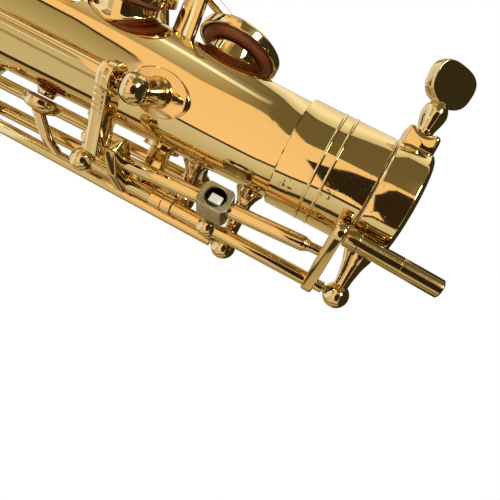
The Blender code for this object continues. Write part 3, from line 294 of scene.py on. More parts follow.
finish = {
    "tube": makeLacquer("tubeLacquer", {
        "colour": (0.82, 0.66, 0.36), "warm": (0.84, 0.65, 0.34), "pitColour": (0.10, 0.05, 0.02),
        "rough": 0.035, "smear": 0.05, "patch": 34.0, "pits": 0.55, "hairline": 0.03,
        "spots": (((0.00945, 0.00562, 0.5685), 0.0017), ((0.01055, 0.0031, 0.5757), 0.0019))}),
    "key": makeLacquer("keyLacquer", {
        "colour": (0.80, 0.64, 0.36), "warm": (0.82, 0.61, 0.31), "pitColour": (0.16, 0.07, 0.03),
        "rough": 0.07, "smear": 0.07, "patch": 60.0, "pits": 0.7, "hairline": 0.05}),
    "pin": makeBare("pinBrass", {
        "colour": (0.66, 0.52, 0.24), "cloud": (0.50, 0.38, 0.16), "rough": 0.09, "spread": 0.08,
        "metal": 1.0, "grain": 0.003}),
    "bare": makeBare("bareBrass", {
        "colour": (0.62, 0.57, 0.40), "cloud": (0.26, 0.23, 0.13), "rough": 0.26, "spread": 0.2,
        # the bore entry and its colour are painted shade: a dark ball that darkens the inside of the swivel
        # block's bore
        "metal": 1.0, "grain": 0.2, "bore": ((0.00768, 0.01453, 0.5577), 0.00276),
        "boreShadeColour": (0.035, 0.028, 0.014)}),
    "steel": makeBare("tongueSteel", {
        "colour": (0.90, 0.86, 0.74), "cloud": (0.80, 0.76, 0.64), "rough": 0.3, "spread": 0.12,
        "metal": 0.35, "grain": 0.15}),
    "leather": makeLeather("padLeather", {"colour": (0.27, 0.062, 0.012), "deep": (0.12, 0.026, 0.006)}),
    "pearl": makePearlFinish("pearlTouch", {
        "pale": (0.86, 0.84, 0.77), "rose": (0.80, 0.73, 0.72), "cool": (0.72, 0.80, 0.78)}),
    "plastic": makeThumbPlastic("thumbPlastic", {
        "colour": (0.012, 0.012, 0.013), "rubbed": (0.03, 0.028, 0.026)}),
}
print("finishes made,", len(finish))


# shells: lists of points (in millimetres) and faces

def soften(points, reach, steps=3, closed=False):
    # rounds the corners of a row of points
    out = []
    count = len(points)
    for i, here in enumerate(points):
        before, after = points[i - 1], points[(i + 1) % count]
        toBefore, toAfter = math.dist(here, before), math.dist(here, after)
        pull = min(reach, toBefore * 0.45, toAfter * 0.45)
        if pull < 1e-4 or (not closed and i in (0, count - 1)):
            out.append(here)
            continue
        first = [h + (b - h) * pull / toBefore for h, b in zip(here, before)]
        last = [h + (a - h) * pull / toAfter for h, a in zip(here, after)]
        for step in range(steps + 1):
            t = step / steps
            out.append(tuple((1 - t) ** 2 * f + 2 * t * (1 - t) * h + t * t * e
                             for f, h, e in zip(first, here, last)))
    return out


def numbered(count, size):
    return [list(range(k * size, (k + 1) * size)) for k in range(count)]


def ringFaces(rings, closed=False):
    # faces between neighbouring rings of point numbers; a ring of one point closes the shape
    faces = []
    for low, high in zip(rings, rings[1:] + rings[:1] if closed else rings[1:]):
        count = max(len(low), len(high))
        for step in range(count):
            after = (step + 1) % count
            if len(low) == 1:
                faces.append((low[0], high[step], high[after]))
            elif len(high) == 1:
                faces.append((low[step], high[0], low[after]))
            else:
                faces.append((low[step], high[step], high[after], low[after]))
    return faces


def lathe(profile, base, axis, sides=64, soft=0.0):
    # turned shape; a profile that leaves the axis open is closed into a ring
    isRing = profile[0][0] > 1e-6
    if soft:
        profile = soften(profile, soft, 3, isRing)
    axis = axis.normalized()
    start = up if abs(axis.z) < 0.9 else Vector((1.0, 0.0, 0.0))
    first = start.cross(axis).normalized()
    second = axis.cross(first)
    verts, rings = [], []
    for radius, along in profile:
        count = sides if radius > 1e-6 else 1
        rings.append(list(range(len(verts), len(verts) + count)))
        for step in range(count):
            turn = 2.0 * math.pi * step / sides
            verts.append(base + axis * along + first * (radius * math.cos(turn))
                         + second * (radius * math.sin(turn)))
    return verts, ringFaces(rings, isRing)


def rod(start, end, radius, sides=40, soft=0.25):
    axis = end - start
    return lathe([(0, 0), (radius, 0), (radius, axis.length), (0, axis.length)], start, axis, sides, soft)


def ball(centre, radius, axis=up, rings=24):
    turns = [math.pi * step / rings for step in range(1, rings)]
    profile = [(radius * math.sin(turn), -radius * math.cos(turn)) for turn in turns]
    return lathe([(0, -radius)] + profile + [(0, radius)], centre, axis, 48)


def inset(outline, reach):
    # moves every side of an anticlockwise outline inwards
    out = []
    count = len(outline)
    for i in range(count):
        before, here, after = outline[i - 1], outline[i], outline[(i + 1) % count]
        a = Vector((here[0] - before[0], here[1] - before[1])).normalized()
        b = Vector((after[0] - here[0], after[1] - here[1])).normalized()
        left, right = Vector((-a.y, a.x)), Vector((-b.y, b.x))
        shift = (left + right) * (reach / max(0.3, 1.0 + left.dot(right)))
        out.append((here[0] + shift.x, here[1] + shift.y))
    return out


def plate(outline, centre, across, along, thickness, bevel=0.3, corner=0.0, dome=0.0, steps=3):
    # flat plate with rounded edges; dome lifts the middle of its upper face
    if sum(a[0] * b[1] - b[0] * a[1] for a, b in zip(outline, outline[1:] + outline[:1])) < 0:
        outline = outline[::-1]
    if corner:
        outline = soften(outline, corner, 5, True)
    normal = across.cross(along).normalized()
    levels = []
    for step in range(steps + 1):
        turn = math.radians(90.0 * step / steps)
        levels.append((bevel * (1.0 - math.sin(turn)), bevel * (1.0 - math.cos(turn)) - thickness / 2))
    levels += [(pull, -height) for pull, height in reversed(levels)]
    rings = [(inset(outline, pull) if pull > 1e-6 else outline, height) for pull, height in levels]
    if dome:
        middle = [sum(p[k] for p in outline) / len(outline) for k in (0, 1)]
        top, height = rings[-1]
        for share in (0.75, 0.5, 0.25):
            drawn = [tuple(m + (c - m) * share for m, c in zip(middle, p)) for p in top]
            rings.append((drawn, height + dome * (1.0 - share * share)))
    verts = [centre + across * p[0] + along * p[1] + normal * height for ring, height in rings for p in ring]
    rows = numbered(len(rings), len(outline))
    return verts, ringFaces(rows) + [tuple(rows[0][::-1]), tuple(rows[-1])]


def saddle(angle, depth, span, height, thick, rings=7, steps=64):
    # oval plate bent to the tube: span runs round the tube, height along it
    sunk, edge = -0.25, 0.94
    levels = [(1.0, sunk), (1.0, thick * 0.5), (0.985, thick * 0.85), (edge, thick)]
    levels += [(edge * (1.0 - k / rings), thick) for k in range(1, rings)]
    verts = []
    for share, lift in levels:
        for step in range(steps):
            turn = 2.0 * math.pi * step / steps
            place = depth - height / 2 * math.cos(turn) * share
            swing = math.degrees(span / 2 * math.sin(turn) * share / tubeRadius(place))
            verts.append(onTube(angle + swing, place, lift))
    last = len(verts)
    verts += [onTube(angle, depth, sunk), onTube(angle, depth, thick)]
    return verts, ringFaces([[last]] + numbered(len(levels), steps) + [[last + 1]])


def ovalOutline(length, width, steps=56):
    turns = [2 * math.pi * step / steps for step in range(steps)]
    return [(width / 2 * math.sin(turn), length / 2 * math.cos(turn)) for turn in turns]


def longOutline(length, width, steps=12):
    # straight sides with round ends, from the middle of one end to the middle of the other
    out = []
    for centre, start in ((length, -90.0), (0.0, 90.0)):
        for step in range(steps + 1):
            turn = math.radians(start + 180.0 * step / steps)
            out.append((centre + width / 2 * math.cos(turn), width / 2 * math.sin(turn)))
    return out


def makeSweepTree():
    # a rounded strip that follows a path; the path's points carry the strip's side direction
    sizes = dict.fromkeys(("Width", "Thickness", "Corner", "Bend"), "Float")
    tree, given, result = startGroup("sweptArm", {"Path": "Geometry", **sizes}, {"Arm": "Geometry"},
                                     "GeometryNodeTree")

    def rounded(curve, radius, count):
        return addNode(tree, "GeometryNodeFilletCurve", {
            "Curve": curve.outputs["Curve"], "Radius": radius, "Count": count, "Limit Radius": True},
            mode="POLY").outputs["Curve"]

    path = addNode(tree, "GeometryNodeMeshToCurve", {"Mesh": given["Path"]})
    side = addNode(tree, "GeometryNodeInputNamedAttribute", {"Name": "side"}, data_type="FLOAT_VECTOR")
    aim = addNode(tree, "GeometryNodeSetCurveNormal", {
        "Curve": rounded(path, given["Bend"], 7), "Normal": side.outputs["Attribute"]}, mode="FREE")
    section = addNode(tree, "GeometryNodeCurvePrimitiveQuadrilateral", {
        "Width": given["Width"], "Height": given["Thickness"]})
    strip = addNode(tree, "GeometryNodeCurveToMesh", {
        "Curve": aim.outputs["Curve"], "Profile Curve": rounded(section, given["Corner"], 4),
        "Fill Caps": True})
    feed(tree, result, {"Arm": strip.outputs["Mesh"]})
    return tree


def makePostTree():
    # turned posts with ball heads, one on each point of a row, standing along the point's lean
    sizes = dict.fromkeys(("Reach", "Ball", "Stem", "Foot"), "Float")
    tree, given, result = startGroup("ballPosts", {"Feet": "Geometry", **sizes}, {"Posts": "Geometry"},
                                     "GeometryNodeTree")

    def lifted(part, height):
        spot = addNode(tree, "ShaderNodeCombineXYZ", {"Z": height})
        return addNode(tree, "GeometryNodeTransform", {
            "Geometry": part.outputs["Mesh"], "Translation": spot.outputs["Vector"]}).outputs["Geometry"]

    def cone(bottom, top, depth, height):
        return lifted(addNode(tree, "GeometryNodeMeshCone", {
            "Vertices": 40, "Radius Bottom": bottom, "Radius Top": top, "Depth": depth}), height)

    wide, stem, reach = given["Foot"], given["Stem"], given["Reach"]
    shoulder, neck = addMath(tree, "MULTIPLY", stem, 1.25), addMath(tree, "MULTIPLY", stem, 0.84)
    head = addNode(tree, "GeometryNodeMeshUVSphere", {"Segments": 40, "Rings": 22, "Radius": given["Ball"]})
    whole = addNode(tree, "GeometryNodeJoinGeometry", {})
    for piece in (cone(wide, wide, 2.1, 0.0), cone(wide, shoulder, 1.3, 2.1), cone(shoulder, stem, 1.1, 3.4),
                  cone(stem, neck, reach, 0.0), lifted(head, reach)):
        tree.links.new(piece, whole.inputs["Geometry"])
    lean = addNode(tree, "GeometryNodeInputNamedAttribute", {"Name": "lean"}, data_type="FLOAT_VECTOR")
    aim = addNode(tree, "FunctionNodeAlignRotationToVector", {"Vector": lean.outputs["Attribute"]}, axis="Z")
    stand = addNode(tree, "GeometryNodeInstanceOnPoints", {
        "Points": given["Feet"], "Instance": whole.outputs["Geometry"], "Rotation": aim.outputs["Rotation"]})
    real = addNode(tree, "GeometryNodeRealizeInstances", {"Geometry": stand.outputs["Instances"]})
    feed(tree, result, {"Posts": real.outputs["Geometry"]})
    return tree


sweepTree = makeSweepTree()
postTree = makePostTree()


def takeShell(target):
    # an object's points and faces after its modifiers; the object itself is removed
    graph = bpy.context.evaluated_depsgraph_get()
    made = bpy.data.meshes.new_from_object(target.evaluated_get(graph))
    shell = ([v.co.copy() for v in made.vertices], [tuple(p.vertices) for p in made.polygons])
    bpy.data.objects.remove(target)
    bpy.data.meshes.remove(made)
    return shell


def runTree(tree, verts, edges, attribute, vectors, values):
    # runs a tree on a small mesh and hands back its points and faces
    mesh = bpy.data.meshes.new("treeSeed")
    mesh.from_pydata([tuple(v) for v in verts], edges, [])
    layer = mesh.attributes.new(attribute, "FLOAT_VECTOR", "POINT")
    layer.data.foreach_set("vector", [c for v in vectors for c in v])
    seed = addObject("treeSeed", mesh)
    maker = seed.modifiers.new("maker", "NODES")
    maker.node_group = tree
    for item in tree.interface.items_tree:
        if item.in_out == "INPUT" and item.name in values:
            maker[item.identifier] = values[item.name]
    return takeShell(seed)


arm = {"width": 3.2, "thick": 1.8}
postSizes = {"Ball": 2.65, "Stem": 1.7, "Foot": 2.9}
# how far post feet stand in the tube, and pivot tips from the middle of a ball
footSink = 1.5
tipReach = postSizes["Ball"] * 0.4


def sweep(path, side, width=arm["width"], thickness=arm["thick"], corner=0.45, bend=1.6):
    edges = [(k, k + 1) for k in range(len(path) - 1)]
    return runTree(sweepTree, path, edges, "side", [side] * len(path),
                   {"Width": width, "Thickness": thickness, "Corner": corner, "Bend": bend})


def posts(feet, leans, reach):
    return runTree(postTree, feet, [], "lean", leans, {**postSizes, "Reach": reach})


def meshOf(name, shells, scale=1.0):
    work = bmesh.new()
    for verts, faces in shells:
        points = [work.verts.new(Vector(v) * scale) for v in verts]
        for face in faces:
            work.faces.new([points[i] for i in face])
    bmesh.ops.remove_doubles(work, verts=work.verts, dist=1e-7)
    bmesh.ops.recalc_face_normals(work, faces=work.faces)
    mesh = bpy.data.meshes.new(name)
    work.to_mesh(mesh)
    work.free()
    return mesh


def bored(shell, cutters):
    # cuts holes and hands back the shell's points and faces
    target = addObject("bored", meshOf("bored", [shell]))
    tool = addObject("borer", meshOf("borer", cutters))
    modifier = target.modifiers.new("bore", "BOOLEAN")
    modifier.operation = "DIFFERENCE"
    modifier.solver = "EXACT"
    modifier.object = tool
    result = takeShell(target)
    bpy.data.objects.remove(tool)
    return result


def makePiece(name, shells, coat, nodes, body, sharp=32.0):
    mesh = meshOf(name, shells, mm)
    mesh.materials.append(finish[coat])
    mesh.shade_smooth()
    mesh.set_sharp_from_angle(angle=math.radians(sharp))
    piece = addObject(name, mesh)
    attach(piece, body)
    if nodes:
        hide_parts(*nodes)
    return piece


def show(node, shells, coat="key", sharp=32.0):
    # the visual piece that stands for one CAD node
    makePiece(node + "_shown", shells, coat, [node], bodyOf[node], sharp)


# keys: place on the line, cup (angle, depth, hole, chimney, pad), rest opening, touch
keySizes = {"rod": 1.5, "pivot": 0.8, "wall": 0.7, "cupFace": 0.9, "padThick": 2.2, "crown": 1.2, "pearl": 3.8,
            "pearlThick": 1.4, "pearlSeat": 0.9, "height": 9.0, "rise": 0.75, "leastResonator": 5.0}
stackLine = (-69.0, keySizes["height"])
leftLine = (75.0, keySizes["height"])
sideLines = {"c": (-142.4, 9.0), "b_flat": (-163.8, 10.0)}
tableLines = {"b": (62.0, keySizes["height"]), "b_flat": (78.0, keySizes["height"]),
              "c_sharp": (94.0, keySizes["height"])}
upperPosts = (31.5, 55.0, 77.2, 101.0, 124.0, 145.2, 167.4, 191.5)
lowerPosts = (201.5, 232.0, 266.0, 298.0, 328.0, 365.0)
leftPosts = (170.5, 194.0)
sidePosts = (42.0, 250.0)
tablePosts = (207.0, 464.0)
upperKeys = {
    "high_f_key": (0, (-19.4, 44.2, 4.95, 1.75, 7.9), 0.0, (-104.0, 44.2, 12.0, 12.0, 7.0)),
    "high_e_flat_key": (1, (17.0, 65.5, 5.2, 1.6, 7.9), 0.0, (-104.0, 65.5, 12.0, 12.0, 7.0)),
    "high_d_key": (2, (29.0, 82.5, 4.6, 1.6, 6.8), 0.0, (-104.0, 89.0, 12.0, 12.0, 7.0)),
    "c_key": (3, (-12.0, 112.5, 5.4, 1.4, 7.6), 5.0, None),
    "b_key": (4, (-12.0, 134.6, 5.6, 1.4, 7.8), 5.0, (22.0, 128.8, 12.5)),
    "a_key": (5, (-12.0, 156.3, 5.9, 1.4, 8.1), 5.0, (22.0, 150.4, 12.5)),
    "g_key": (6, (-12.0, 179.4, 6.4, 1.4, 8.6), 5.0, (22.0, 172.4, 12.5)),
}
lowerKeys = {
    "f_key": (0, (-12.0, 215.0, 7.8, 1.6, 10.2), 5.0, (22.0, 206.6, 13.5)),
    "e_key": (1, (-12.0, 249.0, 8.4, 1.6, 10.8), 5.0, (22.0, 237.2, 13.5)),
    "d_key": (2, (-12.0, 282.0, 9.0, 1.6, 11.4), 5.0, (22.0, 271.2, 13.5)),
    "e_flat_key": (3, (-120.0, 313.0, 9.0, 1.6, 11.4), 0.0, (-22.0, 313.0, 13.0, 13.0, 8.0)),
    "low_c_key": (4, (-12.0, 347.0, 10.4, 1.8, 13.0), 5.0, (-24.0, 332.8, 14.0, 8.0, 7.0)),
}
leftKeys = {"g_sharp_key": (0, (120.0, 182.0, 5.6, 1.2, 7.6), 0.0, (46.0, 182.0, 12.0, 12.0, 8.0))}
sideKeys = {
    "side_c_key": ("c", (-108.0, 120.0, 4.2, 1.2, 6.0), 0.0, (-170.0, 232.0, 16.0, 16.0, 6.0)),
    "side_b_flat_key": ("b_flat", (-192.0, 157.5, 4.4, 1.2, 6.2), 0.0, (-126.0, 210.0, 19.0, 16.0, 6.0)),
}
tableKeys = {
    "low_c_sharp_key": ("c_sharp", (135.0, 380.0, 10.2, 1.8, 12.8), 0.0, (74.0, 250.0, 16.0, 12.0, 8.0)),
    "low_b_key": ("b", (18.0, 402.0, 11.0, 1.8, 13.6), 5.0, (42.0, 218.0, 12.0, 12.0, 8.0)),
    "low_b_flat_key": ("b_flat", (20.0, 443.0, 11.6, 1.8, 14.2), 5.0, (58.0, 234.0, 16.0, 12.0, 8.0)),
}
archedKeys = {"low_b_flat_key": 9.0}
paddedNodes = ("high_f_pad", "high_e_flat_pad")
spine = {"key": "high_f_key", "angle": -4.0, "depth": 53.0, "height": 8.6}


def padFace(cup):
    return cup[3] + gap


def cupCeiling(cup):
    return padFace(cup) + keySizes["padThick"] + gap


def cupTop(cup):
    return cupCeiling(cup) + keySizes["wall"]


def cupFrame(cup, height=0.0):
    return onTube(cup[0], cup[1], height), outward(cup[0])


def cupShell(cup):
    ceiling = cupCeiling(cup)
    cavity = cup[4] + gap
    outer = cavity + keySizes["wall"]
    rim, edge, peak = padFace(cup) + keySizes["cupFace"], ceiling - 0.1, cupTop(cup) + keySizes["crown"]
    profile = [(0, ceiling), (cavity, ceiling), (cavity, rim), (outer, rim), (outer, edge)]
    for step in range(1, 12):
        turn = math.radians(90.0 * step / 12)
        profile.append((outer * math.cos(turn) ** 0.62, edge + (peak - edge) * math.sin(turn) ** 1.15))
    return lathe(profile + [(0, peak)], *cupFrame(cup), 72, 0.16)


def padShell(cup):
    # crowned leather disc with a seat pressed in by the chimney
    pad, thick, seat = cup[4], keySizes["padThick"], cup[2] + run["wall"] / 2
    profile = [(0, 0.1), (seat * 0.8, 0.06), (seat * 0.93, 0.05), (seat, 0.2), (seat * 1.08, 0.05),
               (pad * 0.88, 0), (pad * 0.96, thick * 0.14), (pad, thick * 0.4), (pad, thick - 0.2),
               (pad * 0.98, thick), (0, thick)]
    return lathe(profile, *cupFrame(cup, padFace(cup)), 72, 0.3)


def resonatorShell(cup):
    wide = cup[2] * 0.66
    profile = [(0, -0.32), (wide * 0.16, -0.3), (wide * 0.22, -0.05), (wide * 0.7, -0.06),
               (wide * 0.94, -0.16), (wide, 0.0), (wide, 0.12), (0, 0.12)]
    return lathe(profile, *cupFrame(cup, padFace(cup)), 48, 0.1)


def hingeShell(point, top, bottom, radius, sides=40):
    # key tube with a pivot tip in each ball and a fine step at its ends
    low, high = point(bottom), point(top)
    length, room, pivot = (high - low).length, postSizes["Ball"] + gap, keySizes["pivot"]
    profile = [(0, tipReach), (pivot, tipReach), (pivot, room), (radius, room), (radius, length - room),
               (pivot, length - room), (pivot, length - tipReach), (0, length - tipReach)]
    return lathe(profile, low, high - low, sides, 0.22)


def armShells(point, cup, arch):
    angle, depth = cup[:2]
    hinge, out, side = point(depth), outward(angle), around(angle)
    if side.dot(hinge) < 0:
        side = -side
    centre = onTube(angle, depth, cupTop(cup) + keySizes["crown"] * 0.55)
    elbow = centre + side * (cup[4] + gap + keySizes["wall"] + 1.2)
    path = [hinge, elbow]
    if arch:
        path[1:1] = [hinge + flatten(hinge).normalized() * arch, elbow + out * arch * 0.5]
    tail = centre + (centre - elbow).normalized() * 1.4
    boss = lathe([(0, -1.2), (3.0, -1.0), (2.7, 0.9), (1.9, 1.25), (0, 1.3)], centre, out, 40, 0.3)
    return [sweep(path + [tail], up), boss]


def touchShells(point, touch):
    # an arm to a pearl holder, or to an oval touch where a length and a width are listed
    angle, depth, height = touch[:3]
    centre, hinge = onTube(angle, depth, height), point(depth)
    reach = flatten(hinge)
    rise = keySizes["rise"] * (tubeRadius(depth) + height - reach.length)
    strip = sweep([hinge, hinge + reach.normalized() * rise, centre], up)
    if len(touch) > 3:
        return [strip, plate(ovalOutline(*touch[3:]), centre, around(angle), up, 1.62, 0.6, dome=0.3)]
    seat = keySizes["pearlSeat"]
    inner = keySizes["pearl"] + gap
    wide = inner + keySizes["wall"]
    profile = [(0, -seat), (wide * 0.9, -seat), (wide, -0.4), (wide, 1.5), (inner, 1.5), (inner, seat), (0, seat)]
    return [strip, lathe(profile, centre, outward(angle), 56, 0.2)]


def pearlShell(touch):
    angle, depth, height = touch
    wide, thick = keySizes["pearl"], keySizes["pearlThick"]
    profile = [(0, 0), (wide, 0), (wide, thick * 0.55), (wide * 0.8, thick * 0.9), (wide * 0.45, thick * 1.06),
               (0, thick * 1.1)]
    return lathe(profile, onTube(angle, depth, height + keySizes["pearlSeat"] + gap), outward(angle), 48, 0.3)


def spineShell(cup):
    # flat strip from the crown of the cup along the tube
    crown = onTube(cup[0], cup[1], cupTop(cup) + keySizes["crown"] * 0.8)
    return sweep([crown, onTube(spine["angle"], spine["depth"], spine["height"])], around(cup[0]))


def openingTurn(hinge, axis, cup, degrees):
    centre, out = cupFrame(cup, cup[3])
    sign = 1.0 if axis.cross(centre - hinge).dot(out) > 0 else -1.0
    turn = Matrix.Rotation(math.radians(degrees) * sign, 4, axis)
    return Matrix.Translation(hinge) @ turn @ Matrix.Translation(-hinge)


def makeKey(name, line, ends, cup, opened, touch):
    def point(depth):
        return onTube(line[0], depth, line[1])

    def addPart(partName, shells, coat, nodes, sharp=32.0):
        turned = [([turn @ Vector(v) for v in verts], faces) for verts, faces in shells]
        return makePiece(partName, turned, coat, nodes, bodyOf[name], sharp)

    turn = openingTurn(point(cup[1]), (point(ends[0]) - point(ends[1])).normalized(), cup, opened)
    shells = [hingeShell(point, *ends, keySizes["rod"])]
    shells += armShells(point, cup, archedKeys.get(name)) + [cupShell(cup)]
    if touch:
        shells += touchShells(point, touch)
    if name == spine["key"]:
        shells.append(spineShell(cup))
    addPart(name + "_shown", shells, "key", [name])
    stem = name[:-4]
    pad, pearl = stem + "_pad", stem + "_pearl"
    addPart(pad + "_shown", [padShell(cup)], "leather", [pad] if pad in paddedNodes else (), 50.0)
    if cup[2] > keySizes["leastResonator"]:
        addPart(stem + "_resonator", [resonatorShell(cup)], "key", ())
    if touch and len(touch) == 3:
        addPart(pearl + "_shown", [pearlShell(touch)], "pearl", [pearl] if pearl in bodyOf else ())


def keyList():
    # every key with its line and the depths of its two posts
    for keys, line, depths in ((upperKeys, stackLine, upperPosts), (lowerKeys, stackLine, lowerPosts),
                               (leftKeys, leftLine, leftPosts)):
        for name, (place, *rest) in keys.items():
            yield (name, line, depths[place:place + 2], *rest)
    for keys, lines, depths in ((sideKeys, sideLines, sidePosts), (tableKeys, tableLines, tablePosts)):
        for name, (line, *rest) in keys.items():
            yield (name, lines[line], depths, *rest)


for spec in keyList():
    makeKey(*spec)
print("keys made")

# ribs and bridge feet that carry the posts
ribSizes = {"width": 5.6, "thick": 2.4, "margin": 4.5, "bridge": 1.1, "bridgeMargin": 12.0}


def postRow(line, depths):
    feet = [onTube(line[0], depth, -footSink) for depth in depths]
    return posts(feet, [outward(line[0])] * len(feet), line[1] + footSink)


def singlePost(node, angle, depth, line):
    base = onTube(angle, depth, -footSink)
    lean = line(depth) - base
    show(node, [posts([base], [lean.normalized()], lean.length)])


def makeRib(node, line, depths):
    first = onTube(line[0], depths[0] - ribSizes["margin"])
    reach = onTube(line[0], depths[-1] + ribSizes["margin"]) - first
    along, wide = reach.normalized(), ribSizes["width"]
    strip = plate(longOutline(reach.length - wide, wide), first + along * (wide / 2), along,
                  along.cross(outward(line[0])) * -1.0, ribSizes["thick"], 0.35)
    show(node, [strip, postRow(line, depths)])


def makeBridge(node, lines, depth):
    angles = [angle for angle, _ in lines.values()]
    span = math.radians(max(angles) - min(angles) + 2 * ribSizes["bridgeMargin"]) * tubeRadius(depth)
    base = saddle(sum(angles) / len(angles), depth, span, ribSizes["width"], ribSizes["bridge"])
    show(node, [base] + [postRow(line, [depth]) for line in lines.values()])


makeRib("upper_stack_rib", stackLine, upperPosts)
makeRib("lower_stack_rib", stackLine, lowerPosts)
makeRib("left_rib", leftLine, leftPosts)
for owner, lines, depths in (("side", sideLines, sidePosts), ("table", tableLines, tablePosts)):
    for place, depth in zip(("upper", "lower"), depths):
        makeBridge(owner + "_key_" + place + "_post", lines, depth)
print("ribs and feet made")

# body tube with drawn tone holes and the vent pip
tubeLook = {"sides": 192, "rings": 60, "fillet": 1.1, "pip": (172.0, 76.0, 0.88, 1.4, 2.2), "top": 8.8}


def chimneyShell(angle, depth, hole, chimney, sides=72):
    # a wall drawn up from the tube with a soft root; the rows marked true follow the tube
    wall = run["wall"]
    fillet = min(tubeLook["fillet"], chimney * 0.75)
    steps = []
    for k in range(6):
        turn = math.radians(90.0 * k / 5)
        steps.append((hole + wall + fillet * (1.0 - math.sin(turn)), fillet * (1.0 - math.cos(turn)), True))
    for reach, drop in ((1.0, 0.25), (0.8, 0.04), (0.5, 0.0), (0.2, 0.06), (0.0, 0.3)):
        steps.append((hole + wall * reach, chimney - drop, False))
    steps += [(hole, -wall * 0.9, True), (hole + wall + fillet, -wall * 0.6, True)]
    out, side, verts = outward(angle), around(angle), []
    for reach, height, follows in steps:
        for step in range(sides):
            turn = 2.0 * math.pi * step / sides
            a, b = reach * math.cos(turn), reach * math.sin(turn)
            surface = math.sqrt(max(0.0, tubeRadius(depth - a) ** 2 - b * b))
            lift = surface + height if follows else max(surface + 0.02, tubeRadius(depth) + height)
            verts.append(out * lift + side * b + up * (level(depth) + a))
    return verts, ringFaces(numbered(len(steps), sides), True)


def makeTube():
    top, bottom = tubeLook["top"], level(run["bell"] + gap)
    depths = [bottom + (top - bottom) * k / tubeLook["rings"] for k in range(tubeLook["rings"] + 1)]
    outside = [(tubeRadius(depth), level(depth)) for depth in depths]
    inside = [(radius - run["wall"], height) for radius, height in reversed(outside)]
    holes = [spec[3][:4] for spec in keyList()] + [tubeLook["pip"][:4]]
    cutters = []
    for angle, depth, hole, _ in holes:
        start = polar(angle, tubeRadius(depth) * 0.62, depth)
        cutters.append(rod(start, start + outward(angle) * tubeRadius(depth), hole + 0.25, 48, 0.0))
    wall = bored(lathe(outside + inside, origin, up, tubeLook["sides"]), cutters)
    show("body_tube", [wall] + [chimneyShell(*hole) for hole in holes], "tube", 40.0)


makeTube()

# bell and its ring
bellLook = {"rim": 45.0, "flare": 18.0, "bead": 1.6, "rings": 40, "sides": 192, "ringHeight": 7.0,
            "ringThick": 1.8}


def bellRadius(height):
    throat = tubeRadius(level(run["bell"]))
    flare = bellLook["rim"] - bellLook["bead"] - throat - run["taper"] * run["bell"]
    return throat + run["taper"] * (run["bell"] - height) + flare * math.exp(-height / bellLook["flare"])


def makeBell():
    count, bead, rim = bellLook["rings"], bellLook["bead"], bellLook["rim"]
    heights = [run["bell"] * (k / count) ** 1.7 for k in range(count, 0, -1)]
    outside = [(bellRadius(h), h) for h in heights if h > bead * 1.9]
    inside = [(r - run["wall"], h) for r, h in reversed(outside)]
    turns = [math.radians(120.0 - 210.0 * k / 12) for k in range(13)]
    roll = [(rim - bead + bead * math.cos(turn), bead * 0.95 * (1.0 + math.sin(turn))) for turn in turns]
    profile = outside + roll + [(rim - bead * 2.2, 0.0), (rim - bead * 2.6, 0.6)] + inside
    show("bell", [lathe(profile, origin, up, bellLook["sides"])], "tube", 60.0)
    inner = tubeRadius(level(run["bell"]) + bellLook["ringHeight"]) + 0.6
    outer, half = inner + bellLook["ringThick"], bellLook["ringHeight"] / 2
    bands = [(outer, 0.3), (outer - 0.3, 0.42), (outer - 0.3, 0.62), (outer - 0.7, 1.0), (inner, 1.0)]
    profile = [(r, -half * h) for r, h in reversed(bands)] + [(r, half * h) for r, h in bands]
    show("bell_ring", [lathe(profile, up * run["bell"], up, 160, 0.25)], "tube")


makeBell()
print("tube and bell made")

# receiver sleeve, clamp ring and neck screw
receiver = {"sleeve": 11.0, "clamp": 11.4, "clampLength": 7.5, "socket": 8.6, "beads": (18.0, 15.8),
            "beadHeight": 0.13, "beadWidth": 0.62, "lugAngle": -4.0, "lugDepth": 3.9, "lugWidth": 5.6}
screw = {"shank": 1.25, "tip": -2.5, "end": 9.0, "plate": 4.7, "plateThick": 2.7, "turn": 31.6, "stand": 0.76,
         "scale": 0.955, "wide": 1.12, "egg": 0.016, "tall": 0.88, "hollow": 0.8}


def makeReceiver():
    end, top, wide = run["sleeveEnd"], receiver["clampLength"] + gap, receiver["sleeve"]
    profile = [(tubeRadius(end) + 0.02, end), (wide - 0.25, end), (wide, end - 0.25)]
    for depth in receiver["beads"]:
        for step in range(7):
            turn = math.pi * step / 6
            profile.append((wide + receiver["beadHeight"] * math.sin(turn),
                            depth + receiver["beadWidth"] / 2 * math.cos(turn)))
    profile += [(wide, top + 0.2), (wide - 0.2, top), (tubeRadius(top) + 0.02, top)]
    show("receiver_sleeve", [lathe([(r, level(d)) for r, d in profile], origin, up, 192)], "tube", 40.0)


def lugFrame():
    angle = receiver["lugAngle"]
    return polar(angle, receiver["clamp"], receiver["lugDepth"]), outward(angle)


def makeClamp():
    wide, inner, long = receiver["clamp"], receiver["socket"], receiver["clampLength"]
    profile = [(inner, long), (wide, long), (wide, 0.75), (wide - 0.75, 0.0), (inner + 0.35, 0.0), (inner, 0.35)]
    ring = lathe([(r, level(d)) for r, d in profile], origin, up, 176, 0.4)
    centre, out = lugFrame()
    lobe = [(3.3, -1.6), (3.3, 2.0), (3.15, 2.7), (2.6, 3.1), (2.0, 3.05), (1.3, 2.5), (0.6, 2.25)]
    mirrored = [(-x, y) for x, y in lobe]
    boss = plate(mirrored[:1] + lobe + mirrored[:0:-1], centre, up, out, receiver["lugWidth"], 0.8, 0.4)
    hollow = rod(centre + out * 1.0, centre + out * 5.0, screw["shank"] + screw["hollow"], 48, 0.0)
    show("clamp_ring", [ring, bored(boss, [hollow])], "tube", 40.0)


def squircle(scale, steps=72, power=2.7):
    out = []
    for step in range(steps):
        turn = 2.0 * math.pi * step / steps
        c, s = math.cos(turn), math.sin(turn)
        stretch = scale * (abs(c) ** power + abs(s) ** power) ** (-1.0 / power)
        out.append((c * stretch, s * stretch))
    return out


